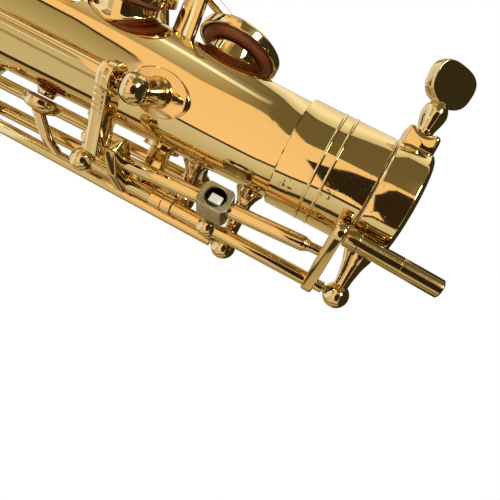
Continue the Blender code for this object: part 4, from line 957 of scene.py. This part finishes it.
def makeScrew():
    centre, out = lugFrame()
    tip, shank, end = screw["tip"], screw["shank"], screw["end"]
    stem = [(0, tip), (shank, tip), (shank, 2.4), (1.6, 2.5), (1.72, 3.2), (1.68, 3.6), (1.9, 4.3), (2.2, 5.2),
            (2.42, 6.2), (2.45, 7.0), (2.2, 7.9), (1.75, 8.6), (1.5, end), (0, end)]
    # thumb plate: rows of shares of its outline, and heights above its middle
    tilt = math.radians(screw["turn"])
    face = around(receiver["lugAngle"]) * math.cos(tilt) + up * math.sin(tilt)
    across = face.cross(out).normalized()
    middle = centre + out * (end + screw["plate"] * screw["stand"])
    rows = [(0.0, 0.86), (0.4, 0.87), (0.7, 0.9), (0.85, 0.93), (0.91, 0.96), (0.94, 0.95), (0.97, 0.84),
            (0.99, 0.6), (1.0, 0.3)]
    verts, rings = [], []
    for share, lift in rows + [(share, -lift) for share, lift in reversed(rows)]:
        start = len(verts)
        outline = squircle(screw["plate"] * share * screw["scale"]) if share else [(0.0, 0.0)]
        for x, y in outline:
            spread = screw["wide"] + screw["egg"] * y
            verts.append(middle + across * (x * spread) + out * (y * screw["tall"])
                         + face * (lift * screw["plateThick"] / 2))
        rings.append(list(range(start, len(verts))))
    show("neck_screw", [lathe(stem, centre, out, 56, 0.3), (verts, ringFaces(rings))], "key", 60.0)


makeReceiver()
makeClamp()
makeScrew()
print("receiver made")

# octave pin key: pin, bar, two rods and a block between bar and hook
pinKey = {"pin": 1.75, "reach": 10.5, "lean": 0.7, "clear": 0.65, "angle": 127.4, "hingeAngle": 174.5,
          "hingeHeight": 9.3, "barDepth": 9.4, "barWidth": 4.4, "barThick": 2.3, "postDepth": 3.6,
          "hookDepth": 53.2, "hookThick": 2.4, "hookPost": 63.0, "rodReach": 0.42, "rodRise": 2.6,
          "rodNeck": 0.95, "seat": 0.2, "socket": 0.15, "mark": 0.02, "ball": 1.6}
block = {"depth": 32.3, "size": 5.4, "length": 6.4, "turn": -35.0, "bore": 2.1, "boreDepth": 3.9, "trim": 0.3,
         "tongueWidth": 2.5, "tongueThick": 1.9, "tongueDrop": 0.9, "collar": 43.5, "collarLength": 5.0}
pinHinge = straightLine(pinKey["hingeAngle"], receiver["clamp"] + pinKey["hingeHeight"])


def pinEnds():
    start = polar(pinKey["angle"], receiver["clamp"] + pinKey["pin"] + pinKey["clear"], pinKey["barDepth"])
    return start, Vector((start.x, start.y + pinKey["lean"], level(-pinKey["reach"])))


def upperRod(depth):
    pin, hinge = flatten(pinEnds()[0]), flatten(pinHinge(0.0))
    near = pin + (hinge - pin) * pinKey["rodReach"]
    share = (depth - pinKey["barDepth"]) / (pinKey["hookDepth"] - pinKey["barDepth"])
    return Vector((near.x, near.y + pinKey["rodRise"] * share, level(depth)))


def makePinKey():
    start, end = pinEnds()
    hinge = pinHinge(pinKey["barDepth"])
    along = (hinge - start).normalized()
    bar = plate(longOutline((hinge - start).length, pinKey["barWidth"]), start, along, up.cross(along),
                pinKey["barThick"], 0.5, steps=2)
    stub = rod(hinge, pinHinge(pinKey["postDepth"] + tipReach), keySizes["pivot"])
    boss = rod(hinge, pinHinge(pinKey["postDepth"] + postSizes["Ball"] + gap), keySizes["pivot"] * 1.5)
    show("pin_key_bar", [bar, stub, boss])

    aim = (end - start).normalized()
    base = start + aim * (pinKey["barThick"] / 2 + gap)
    long, wide = (end - base).length, pinKey["pin"]
    socket, mark = wide + pinKey["socket"], wide - pinKey["mark"]
    profile = [(0, 0), (socket, 0), (socket, 2.3), (wide, 2.45), (wide, 10.4), (mark, 10.44), (mark, 10.56),
               (wide, 10.6), (wide, long - 0.25), (wide - 0.25, long), (0, long)]
    show("octave_pin", [lathe(profile, base, aim, 56, 0.08)], "pin")

    wide, long = keySizes["rod"], block["collarLength"] / 2
    hookTop = pinKey["hookDepth"] - pinKey["hookThick"] / 2 + pinKey["seat"]
    barBottom = pinKey["barDepth"] + pinKey["barThick"] / 2 - pinKey["seat"]
    collar = [(-0.2, long), (0.25, long), (0.4, long - 0.15), (0.4, 0.42), (0.08, 0.3), (0.08, 0.18),
              (0.4, 0.06), (0.4, 0.15 - long), (0.25, -long), (-0.2, -long)]
    show("pin_key_hinge_tube", [
        rod(pinHinge(hookTop), pinHinge(barBottom), wide, 48),
        ball(pinHinge(block["depth"] + 0.5), wide * pinKey["ball"]),
        lathe([(wide + r, h) for r, h in collar], pinHinge(block["collar"]), up, 48)])

    half, neck = block["length"] / 2 - pinKey["seat"], pinKey["rodNeck"]
    far = upperRod(block["depth"] - half)
    aim = upperRod(barBottom) - far
    long = aim.length
    profile = [(0, 0), (wide, 0), (wide, long - 3.8), (wide * 0.93, long - 3.4), (neck, long - 2.3),
               (neck, long), (0, long)]
    show("pin_key_front_rod", [lathe(profile, far, aim, 48, 0.3)])
    show("pin_key_rear_rod", [rod(upperRod(hookTop), upperRod(block["depth"] + half), wide, 48)])


def makeBlock():
    centre, face = upperRod(block["depth"]), around(block["turn"])
    across = up.cross(face)
    half, long, bore = block["size"] / 2, block["length"] / 2, block["bore"]
    trim = half * block["trim"]
    side = [(-half, trim - long), (trim - half, -long), (half - trim, -long), (half, trim - long)]
    solid = plate(side + [(-x, -y) for x, y in side], centre, across, up, block["size"], 0.22, 0.3)
    floor = half - block["boreDepth"]
    borer = rod(centre + face * floor, centre + face * (half + 2), bore, 48, 0.0)
    lip = lathe([(0, half - 0.18), (bore, half - 0.18), (bore + 0.22, half + 0.1), (0, half + 0.1)],
                centre, face, 48)
    show("swivel_block", [bored(bored(solid, [borer]), [lip])], "bare")
    floor += gap
    reach = half - block["tongueDrop"] - floor
    w, t = block["tongueWidth"] / 2, block["tongueThick"] / 2
    tongue = plate([(-t, -w), (t, -w), (t, w), (-t, w)], centre + face * (floor + reach / 2), across, up,
                   reach, 0.15, 0.2)
    show("swivel_tongue", [tongue], "steel")


def makeHook():
    hinge = pinHinge(pinKey["hookDepth"])
    across = upperRod(pinKey["hookDepth"]) - hinge
    reach = across.length
    across.normalize()
    out = across.cross(up)
    if out.x < 0:
        out = -out
    outline = [(reach + 6.0, -0.6), (reach + 5.4, 2.5), (reach * 0.8, 3.2), (-1.8, 1.9), (-2.6, 0.0),
               (-1.4, -2.2), (reach * 0.5, -2.2), (reach + 4.4, -2.2)]
    show("pin_key_hook", [plate(outline, hinge, across, out, pinKey["hookThick"], 0.35, 0.5),
                          rod(hinge, pinHinge(pinKey["hookPost"] - tipReach), keySizes["pivot"])])


def makePinPosts():
    head = pinHinge(pinKey["postDepth"])
    base = polar(pinKey["hingeAngle"], receiver["clamp"] - 1.0, pinKey["postDepth"])
    lean, wide, stem = head - base, postSizes["Foot"], postSizes["Stem"]
    top = lean.length - 1.6
    profile = [(0, 0), (wide, 0), (wide, 1.5), (wide * 0.9, 2.3), (wide * 0.74, 3.6),
               (stem * 0.95, lean.length * 0.62), (stem * 0.8, top), (0, top)]
    show("pin_key_post", [lathe(profile, base, lean, 48, 0.5), ball(head, postSizes["Ball"], lean)])
    singlePost("pin_key_lower_post", pinKey["hingeAngle"], pinKey["hookPost"], pinHinge)


makePinKey()
makeBlock()
makeHook()
makePinPosts()
print("pin key made")

# octave link with the tall lever
link = {"angle": 96.5, "height": 9.9, "postDepth": 49.6, "footLength": 12.2, "footWidth": 8.2,
        "lowerDepth": 104.0, "stem": 2.5, "leverDepth": 54.15, "leverThick": 2.5, "leverWidth": 4.7,
        "leverLength": 12.2, "leverAim": 203.0, "boss": 2.9, "armDepth": 97.0, "armAngle": 152.0,
        "armHeight": 8.4, "play": 1.3, "notches": (1.2, 2.2, 3.2, 4.2, 5.2), "notch": 0.26}
linkLine = straightLine(link["angle"], receiver["sleeve"] + link["height"])
linkArmEnd = onTube(link["armAngle"], link["armDepth"], link["armHeight"])


def makeLink():
    seat, aim = linkLine(link["leverDepth"]), outward(link["leverAim"])
    side, long, wide = up.cross(aim), link["leverLength"], link["leverWidth"] / 2
    outline = [(-wide, -1.0), (-1.2, -wide), (long + 1.2, -wide), (long + wide, -1.0), (long + wide, 1.0),
               (long + 1.2, wide), (-1.2, wide), (-wide, 1.0)]
    lever = plate(outline, seat, aim, side, link["leverThick"], 0.35, steps=2)
    worn = [seat + aim * place - side * (wide + 0.05) for place in link["notches"]]
    files = [rod(spot - up * 2.0, spot + up * 2.0, link["notch"], 12, 0.0) for spot in worn]
    knob = [(0, 0), (1.5, 0), (1.5, 2.0), (1.25, 2.7), (0.8, 3.1), (0, 3.2)]
    show("octave_link", [
        hingeShell(linkLine, link["postDepth"], link["lowerDepth"], keySizes["rod"] * 1.05, 48),
        bored(lever, files),
        rod(seat, linkLine(link["postDepth"] + postSizes["Ball"] + gap), link["boss"], 48, 0.3),
        lathe(knob, seat + aim * long, -up, 40, 0.2),
        sweep([linkLine(link["armDepth"]), linkArmEnd], up)])
    head, base = linkLine(link["postDepth"]), onTube(link["angle"], link["postDepth"], -footSink)
    lean, stem = head - base, link["stem"]
    tall = lean.length - 1.3
    profile = [(0, 0), (2.9, 0), (2.9, 2.6), (stem, 3.8), (stem * 0.9, tall), (0, tall)]
    show("link_post", [
        lathe(profile, base, lean, 56, 0.4), ball(head, postSizes["Ball"], lean),
        saddle(link["angle"], link["postDepth"], link["footWidth"], link["footLength"], 1.0, 10, 96)])
    singlePost("link_lower_post", link["angle"], link["lowerDepth"], linkLine)


makeLink()

# octave vent key on the back
vent = {"angle": 184.8, "height": 12.9, "posts": (28.7, 49.4, 92.0), "cup": 4.0, "pad": 1.4, "armOffset": 6.0,
        "postHalf": 1.5, "postThick": 4.0}


def makeVent():
    line = straightLine(vent["angle"], receiver["sleeve"] + vent["height"])
    top, middle, bottom = vent["posts"]
    wide, cup = keySizes["rod"] * 0.95, vent["cup"]
    base, out = cupFrame(tubeLook["pip"])
    face = padFace(tubeLook["pip"])
    back = face + vent["pad"]
    ceiling, cavity = back + gap, cup - keySizes["wall"]
    profile = [(0, ceiling), (cavity, ceiling), (cavity, face + 0.6), (cup, face + 0.6), (cup, ceiling),
               (cup * 0.86, ceiling + 0.8), (cup * 0.5, ceiling + 1.35), (0, ceiling + 1.5)]
    crown, start = base + out * (ceiling + 1.3), line(tubeLook["pip"][1] - vent["armOffset"])
    elbow = start.lerp(crown, 0.55) + flatten(start).normalized() * 1.2
    show("vent_key", [hingeShell(line, top, bottom, wide, 48), lathe(profile, base, out, 48, 0.25),
                      sweep([start, elbow, crown], up, arm["width"] * 0.8, arm["thick"] * 0.9)])
    edge = cavity - 0.3
    profile = [(0, face), (cavity - 0.9, face), (edge, face + 0.4), (edge, back), (0, back)]
    makePiece("vent_pad_shown", [lathe(profile, base, out, 40, 0.25)], "leather", (),
                        bodyOf["vent_key"], 50.0)
    singlePost("vent_key_upper_post", vent["angle"], top, line)
    singlePost("vent_key_lower_post", vent["angle"], bottom, line)
    # the middle post is a fork under the hinge tube
    stand = onTube(vent["angle"], middle, -footSink)
    lean = line(middle) - stand
    reach, notch, half = lean.length, wide + 0.35, vent["postHalf"]
    lean.normalize()
    turns = [math.radians(t) for t in range(50, -51, -10)]
    outline = [(-half, 0), (half, 0), (half, reach - notch * 0.8)]
    outline += [(notch * math.sin(turn), reach - notch * math.cos(turn)) for turn in turns]
    outline.append((-half, reach - notch * 0.8))
    show("vent_key_middle_post", [plate(outline, stand, up.cross(lean), lean, vent["postThick"], 0.3),
                                  saddle(vent["angle"], middle, 7.0, 8.0, 0.8)])


makeVent()

# octave thumb lever
thumb = {"depth": 112.0, "height": 5.2, "side": 7.0, "touchDepth": 127.0, "half": 3.6, "cheek": 1.6,
         "touchShift": 1.0, "touchRise": 1.6, "touchLength": 16.0, "touchWidth": 11.0, "touchThick": 2.2}


def makeThumbLever():
    hinge = Vector((thumb["side"], tubeRadius(thumb["depth"]) + thumb["height"], level(thumb["depth"])))
    across = Vector((1.0, 0.0, 0.0))
    tip = linkArmEnd - outward(link["armAngle"]) * (arm["thick"] + link["play"])
    touch = Vector((thumb["side"] - thumb["touchShift"], hinge.y + thumb["touchRise"], level(thumb["touchDepth"])))
    shells = [rod(hinge - across * half, hinge + across * half, radius)
              for half, radius in ((thumb["half"], keySizes["rod"]),
                                   (thumb["half"] + thumb["cheek"], keySizes["pivot"]))]
    shells += [sweep([hinge, tip], across), sweep([hinge, touch], across, arm["width"] * 1.3),
               plate(ovalOutline(thumb["touchLength"], thumb["touchWidth"]), touch, -across, up,
                     thumb["touchThick"], 0.8, dome=0.3)]
    show("octave_thumb_lever", shells)


makeThumbLever()

# fittings on the back: thumb rest, strap ring, thumb hook
fittings = {"angle": 180.0, "restDepth": 142.0, "ringDepth": 205.0, "ringRadius": 5.0, "ringStand": 2.6,
            "wire": 1.3, "hookDepth": 264.0, "hookReach": 17.0, "hookWidth": 12.0, "hookThick": 2.2}


def makeFittings():
    angle = fittings["angle"]
    back, side = outward(angle), around(angle)
    profile = [(0, 0), (4.0, 0), (4.0, 3.4), (6.2, 4.2), (6.2, 5.2), (5.2, 6.0), (3.0, 6.15), (0, 6.2)]
    show("thumb_rest", [lathe(profile, onTube(angle, fittings["restDepth"], -footSink), back, 64, 0.4)],
         "plastic")

    depth, radius, wire = fittings["ringDepth"], fittings["ringRadius"], fittings["wire"]
    centre = onTube(angle, depth, fittings["ringStand"] + radius)
    turns = [2 * math.pi * k / 20 for k in range(20)]
    profile = [(radius + wire * math.cos(turn), wire * math.sin(turn)) for turn in turns]
    show("strap_ring", [lathe(profile, centre, side, 72),
                        rod(onTube(angle, depth, -footSink), centre + back * (0.4 - radius), 2.2),
                        saddle(angle, depth, 9.0, 14.0, 0.9)])

    depth, path = fittings["hookDepth"], []
    for step in range(13):
        turn = math.radians(90.0 * step / 12)
        path.append(onTube(angle, depth) + back * (fittings["hookReach"] * math.sin(turn) * 0.8 + 0.3)
                    - up * (3.0 + 6.0 * (1.0 - math.cos(turn))))
    path.append(path[-1] + back * 2.0 - up * 3.0)
    show("thumb_hook", [sweep(path, side, fittings["hookWidth"] * 0.75, fittings["hookThick"], 0.7, 3.0),
                        saddle(angle, depth + 3.0, fittings["hookWidth"], 20.0, 1.6)])


makeFittings()

# staple beside the spine
guide = {"stems": ((14.0, 52.2), (2.0, 55.4)), "height": 11.6, "sink": 1.0, "closer": 0.85, "width": 2.38,
         "thick": 1.68, "over": (1.4, 1.0), "barWidth": 2.6, "barThick": 1.8}


def makeGuide():
    tops, shells = [], []
    for angle, depth in guide["stems"]:
        tops.append(onTube(angle * guide["closer"], depth, guide["height"]))
        shells.append(sweep([onTube(angle, depth, -guide["sink"]), tops[-1]], up, guide["width"], guide["thick"]))
    first, last = tops
    along = (last - first).normalized()
    bar = [first - along * guide["over"][0], last + along * guide["over"][1]]
    across = along.cross(flatten(first).normalized())
    show("spine_guide", shells + [sweep(bar, across, guide["barWidth"], guide["barThick"])])


makeGuide()
print("keywork made")

# carried-over nodes take the same finish
for node in frame["nodes"].values():
    node.data.materials.clear()
    node.data.materials.append(finish["key"])

# stage: a pale floor that fades out, soft lamps, and plain cards that the metal mirrors
stageLook = {"floor": 0.55, "floorDrop": -0.0005, "floorColour": (0.9, 0.9, 0.9, 1.0), "fadeFrom": 0.22,
             "fadeTo": 0.5, "dusk": (0.04, 0.032, 0.014), "behind": (0.03, 0.02, 0.01), "behindAt": 0.30,
             "ceiling": 1.36, "fill": 0.55,
             "lamps": (("softLamp", (0.7, -0.7, 1.1), 0.5, 8.0), ("fillLamp", (0.6, 0.9, 0.3), 0.6, 5.0))}


def clearMaterial(name):
    material = bpy.data.materials.new(name)
    material.use_nodes = True
    material.node_tree.nodes.clear()
    return material, material.node_tree


def makeFloor():
    work = bmesh.new()
    bmesh.ops.create_circle(work, cap_ends=True, segments=96, radius=stageLook["floor"])
    mesh = bpy.data.meshes.new("floor")
    work.to_mesh(mesh)
    work.free()
    material, tree = clearMaterial("paleFloor")
    coords = addNode(tree, "ShaderNodeTexCoord", {})
    length = addNode(tree, "ShaderNodeVectorMath", {0: coords.outputs["Object"]}, operation="LENGTH")
    matte = addNode(tree, "ShaderNodeBsdfDiffuse", {"Color": stageLook["floorColour"]})
    clear = addNode(tree, "ShaderNodeBsdfTransparent", {})
    mixed = addNode(tree, "ShaderNodeMixShader", {
        0: addRange(tree, length.outputs["Value"], stageLook["fadeFrom"], stageLook["fadeTo"]),
        1: matte.outputs["BSDF"], 2: clear.outputs["BSDF"]})
    addNode(tree, "ShaderNodeOutputMaterial", {"Surface": mixed.outputs["Shader"]})
    mesh.materials.append(material)
    floor = addObject("floor", mesh)
    floor.location.z = stageLook["floorDrop"]


def makeCardGlow():
    # glows in the colours that a card's points carry
    material, tree = clearMaterial("cardGlow")
    tint = addNode(tree, "ShaderNodeAttribute", {}, attribute_name="tint")
    glow = addNode(tree, "ShaderNodeEmission", {"Color": tint.outputs["Color"], "Strength": 1.0})
    addNode(tree, "ShaderNodeOutputMaterial", {"Surface": glow.outputs["Emission"]})
    return material


cardGlow = makeCardGlow()


def stageCard(name, verts, faces, colours):
    mesh = bpy.data.meshes.new(name)
    mesh.from_pydata(verts, [], faces)
    tint = mesh.color_attributes.new("tint", "FLOAT_COLOR", "POINT")
    for spot, colour in zip(tint.data, colours):
        spot.color = (*colour, 1.0)
    mesh.materials.append(cardGlow)
    card = addObject(name, mesh)
    card.visible_camera = card.visible_diffuse = card.visible_shadow = False


def blend(first, last, share):
    return tuple(a + (b - a) * share for a, b in zip(first, last))


def rowAt(rows, height):
    # the values listed at a height, blended between the rows above and below it
    if height <= rows[0][0]:
        return rows[0][1:]
    for low, high in zip(rows, rows[1:]):
        if height <= high[0]:
            share = (height - low[0]) / (high[0] - low[0])
            return [blend(a, b, share) if isinstance(a, tuple) else a + (b - a) * share
                    for a, b in zip(low[1:], high[1:])]
    return rows[-1][1:]


def makeCard(name, first, last, stops, radius=1.0, low=-0.35, high=1.35):
    # upright curved card between two edges; angles run from the camera's side round to the back
    rows, columns = 85, 24
    verts, faces, colours = [], [], []
    for row in range(rows + 1):
        z = low + (high - low) * row / rows
        start, end, tints = rowAt(first, z)[0], rowAt(last, z)[0], rowAt(stops, z)
        for column in range(columns + 1):
            turn = math.radians(start + (end - start) * column / columns)
            verts.append((radius * math.cos(turn), radius * math.sin(turn), z))
            colours.append(blend(*tints, column / columns))
    wide = columns + 1
    for row in range(rows):
        for here in range(row * wide, row * wide + columns):
            faces.append((here, here + 1, here + wide + 1, here + wide))
    stageCard(name, verts, faces, colours)


def shifted(edge, turn):
    return [(z, angle + turn) for z, angle in edge]


# edges as heights and angles
backEdge = [(0.0, -192.0)]
paleEdge = [(0.0, -140.0), (0.273, -134.0), (0.347, -117.0), (0.38, -111.0), (0.41, -104.0), (0.44, -92.0),
            (0.465, -85.0), (0.525, -84.0), (0.63, -98.0)]
crestEdge = shifted(paleEdge, -26.0)
seamEdge = shifted(paleEdge, 2.2)
joinEdge = [(0.43, -38.0), (0.475, -28.0), (0.525, -31.0)]
oliveEdge = [(0.0, -112.0), (0.16, -108.0), (0.294, -100.0), (0.373, -94.0), (0.42, -90.0)] + joinEdge
streakTop = [(0.0, -96.0), (0.094, -94.5), (0.16, -92.5), (0.214, -88.6), (0.294, -83.0), (0.373, -78.0),
             (0.42, -79.0)] + joinEdge
streakLow = [(0.0, -87.0), (0.094, -86.0), (0.16, -84.0), (0.214, -80.4), (0.294, -75.0), (0.373, -70.0),
             (0.42, -71.0)] + joinEdge
peachTop = [(0.0, -56.0), (0.108, -54.0), (0.174, -50.5), (0.243, -46.0), (0.366, -47.5), (0.40, -47.0),
            (0.43, -42.0), (0.45, -35.0)] + joinEdge[1:]
thinEdge = shifted(peachTop, -3.0)
peachEdge = [(-0.1, -42.0), (-0.066, -42.0), (-0.011, -37.6), (0.043, -34.7), (0.106, -29.0), (0.15, 30.0),
             (0.196, 41.6), (0.31, 43.8), (0.42, 44.6), (0.47, 42.0), (0.56, 35.0)]
lineEdge = shifted(peachEdge, 4.5)
dullEdge = [(0.04, 9.0), (0.09, 6.0), (0.106, -26.0)] + lineEdge[5:]
glintEdge = [(0.04, 16.0), (0.09, 9.0), (0.106, -26.0)] + lineEdge[5:]
beigeEdge = [(0.196, 89.7), (0.318, 85.5), (0.43, 79.0), (0.48, 76.0), (0.50, 71.0), (0.58, 68.0)]
brownEdge, goldEdge, lowEdge = (shifted(beigeEdge, turn) for turn in (9.0, 30.0, 42.0))
farEdge = [(0.0, 168.0)]
# cards between two edges, with the colours of both edges at some heights
brown, deep = (0.09, 0.05, 0.02), (0.02, 0.012, 0.006)
cards = (
    ("cardPaleTop", backEdge, crestEdge, [
        (0.0, (0.40, 0.33, 0.19), (0.86, 0.77, 0.53)), (0.45, (0.34, 0.28, 0.15), (1.2, 1.13, 0.88))]),
    ("cardCrest", crestEdge, paleEdge, [
        (0.0, (0.86, 0.77, 0.53), (0.66, 0.56, 0.35)), (0.45, (1.2, 1.13, 0.88), (0.72, 0.63, 0.42))]),
    ("cardSeam", paleEdge, seamEdge, [(0.0, (0.12, 0.09, 0.04), (0.06, 0.045, 0.018))]),
    ("cardDark", seamEdge, oliveEdge, [
        (0.3, (0.22, 0.185, 0.085), (0.32, 0.27, 0.13)), (0.43, (0.17, 0.14, 0.06), (0.19, 0.145, 0.062))]),
    ("cardOlive", oliveEdge, streakTop, [
        (0.2, (0.32, 0.26, 0.13), (0.66, 0.58, 0.40)), (0.42, (0.14, 0.105, 0.045), (0.24, 0.19, 0.09))]),
    ("cardStreak", streakTop, streakLow, [
        (0.25, (1.35, 1.32, 1.2), (1.4, 1.36, 1.25)), (0.36, (0.8, 0.76, 0.58), (0.9, 0.85, 0.66)),
        (0.42, (0.24, 0.19, 0.09), (0.22, 0.17, 0.08))]),
    ("cardBand", streakLow, thinEdge, [
        (0.15, (0.78, 0.70, 0.50), (0.50, 0.39, 0.19)), (0.3, (0.52, 0.44, 0.26), (0.44, 0.34, 0.16)),
        (0.4, (0.20, 0.155, 0.07), (0.27, 0.205, 0.095))]),
    ("cardThin", thinEdge, peachTop, [
        (0.2, (0.50, 0.34, 0.14), (0.80, 0.55, 0.27)), (0.43, (0.27, 0.2, 0.09), (0.62, 0.48, 0.25))]),
    ("cardPeach", peachTop, peachEdge, [
        (0.1, (1.12, 0.78, 0.42), (1.13, 0.785, 0.41)), (0.45, (1.10, 0.765, 0.40), (1.15, 0.81, 0.45))]),
    ("cardLine", peachEdge, lineEdge, [(0.0, brown, deep), (0.3, deep, brown)]),
    ("cardDull", lineEdge, dullEdge, [(0.0, (0.42, 0.34, 0.17), (0.62, 0.54, 0.34))]),
    ("cardGlint", dullEdge, glintEdge, [(0.0, (1.3, 1.25, 1.1), (1.2, 1.15, 1.0))]),
    ("cardBeige", glintEdge, beigeEdge, [
        (0.0, (0.66, 0.58, 0.38), (0.70, 0.62, 0.43)), (0.4, (0.80, 0.72, 0.52), (0.62, 0.54, 0.36))]),
    ("cardBrown", beigeEdge, brownEdge, [(0.0, brown, deep)]),
    ("cardGold", brownEdge, goldEdge, [(0.0, (0.50, 0.36, 0.17), (0.66, 0.53, 0.31))]),
    ("cardBrownLow", goldEdge, lowEdge, [(0.0, (0.40, 0.30, 0.15), brown)]),
    ("cardGoldLow", lowEdge, farEdge, [(0.0, (0.46, 0.37, 0.19), (0.58, 0.49, 0.29))]),
)
# dark shape behind the camera
standIn = ((-0.007, 0.546), (-0.036, 0.563), (-0.100, 0.580), (-0.138, 0.606), (-0.15, 0.80), (0.26, 0.80),
           (0.239, 0.645), (0.171, 0.604), (0.134, 0.586), (0.157, 0.568), (0.045, 0.553))


def makeStage():
    makeFloor()
    for card in cards:
        makeCard(*card)
    # the dark side of the room above the receiver
    dusk, ceiling = stageLook["dusk"], stageLook["ceiling"]
    makeCard("cardDarkBack", [(0.0, 108.0)], [(0.0, 256.0)], [(0.0, dusk, dusk)], 0.96, 0.78, ceiling)
    shape = [(stageLook["behindAt"], y, z) for y, z in standIn]
    stageCard("cardBehind", shape, [tuple(range(len(shape)))], [stageLook["behind"]] * len(shape))
    rim = [(math.cos(math.radians(t)), math.sin(math.radians(t)), ceiling) for t in range(0, 360, 6)]
    stageCard("cardCeiling", rim, [tuple(range(len(rim)))], [dusk] * len(rim))
    # a white room, dimmer where it only lights
    scene.world = bpy.data.worlds.new("whiteRoom")
    scene.world.use_nodes = True
    tree = scene.world.node_tree
    tree.nodes.clear()
    rays = addNode(tree, "ShaderNodeLightPath", {}).outputs
    seen = addMath(tree, "MAXIMUM", rays["Is Camera Ray"], rays["Is Glossy Ray"])
    seen = addMath(tree, "MAXIMUM", seen, rays["Is Transmission Ray"])
    glow = addNode(tree, "ShaderNodeBackground", {
        "Color": (1.0, 1.0, 1.0, 1.0), "Strength": addRange(tree, seen, 0.0, 1.0, stageLook["fill"], 1.0)})
    addNode(tree, "ShaderNodeOutputWorld", {"Surface": glow.outputs["Background"]})
    for name, place, size, power in stageLook["lamps"]:
        data = bpy.data.lights.new(name, "AREA")
        data.shape = "RECTANGLE"
        data.size = data.size_y = size
        data.energy = power
        lamp = addObject(name, data)
        lamp.location = place
        aim = Vector((0.0, 0.0, 0.5)) - Vector(place)
        lamp.rotation_euler = aim.to_track_quat("-Z", "Y").to_euler()


makeStage()
print("stage set")
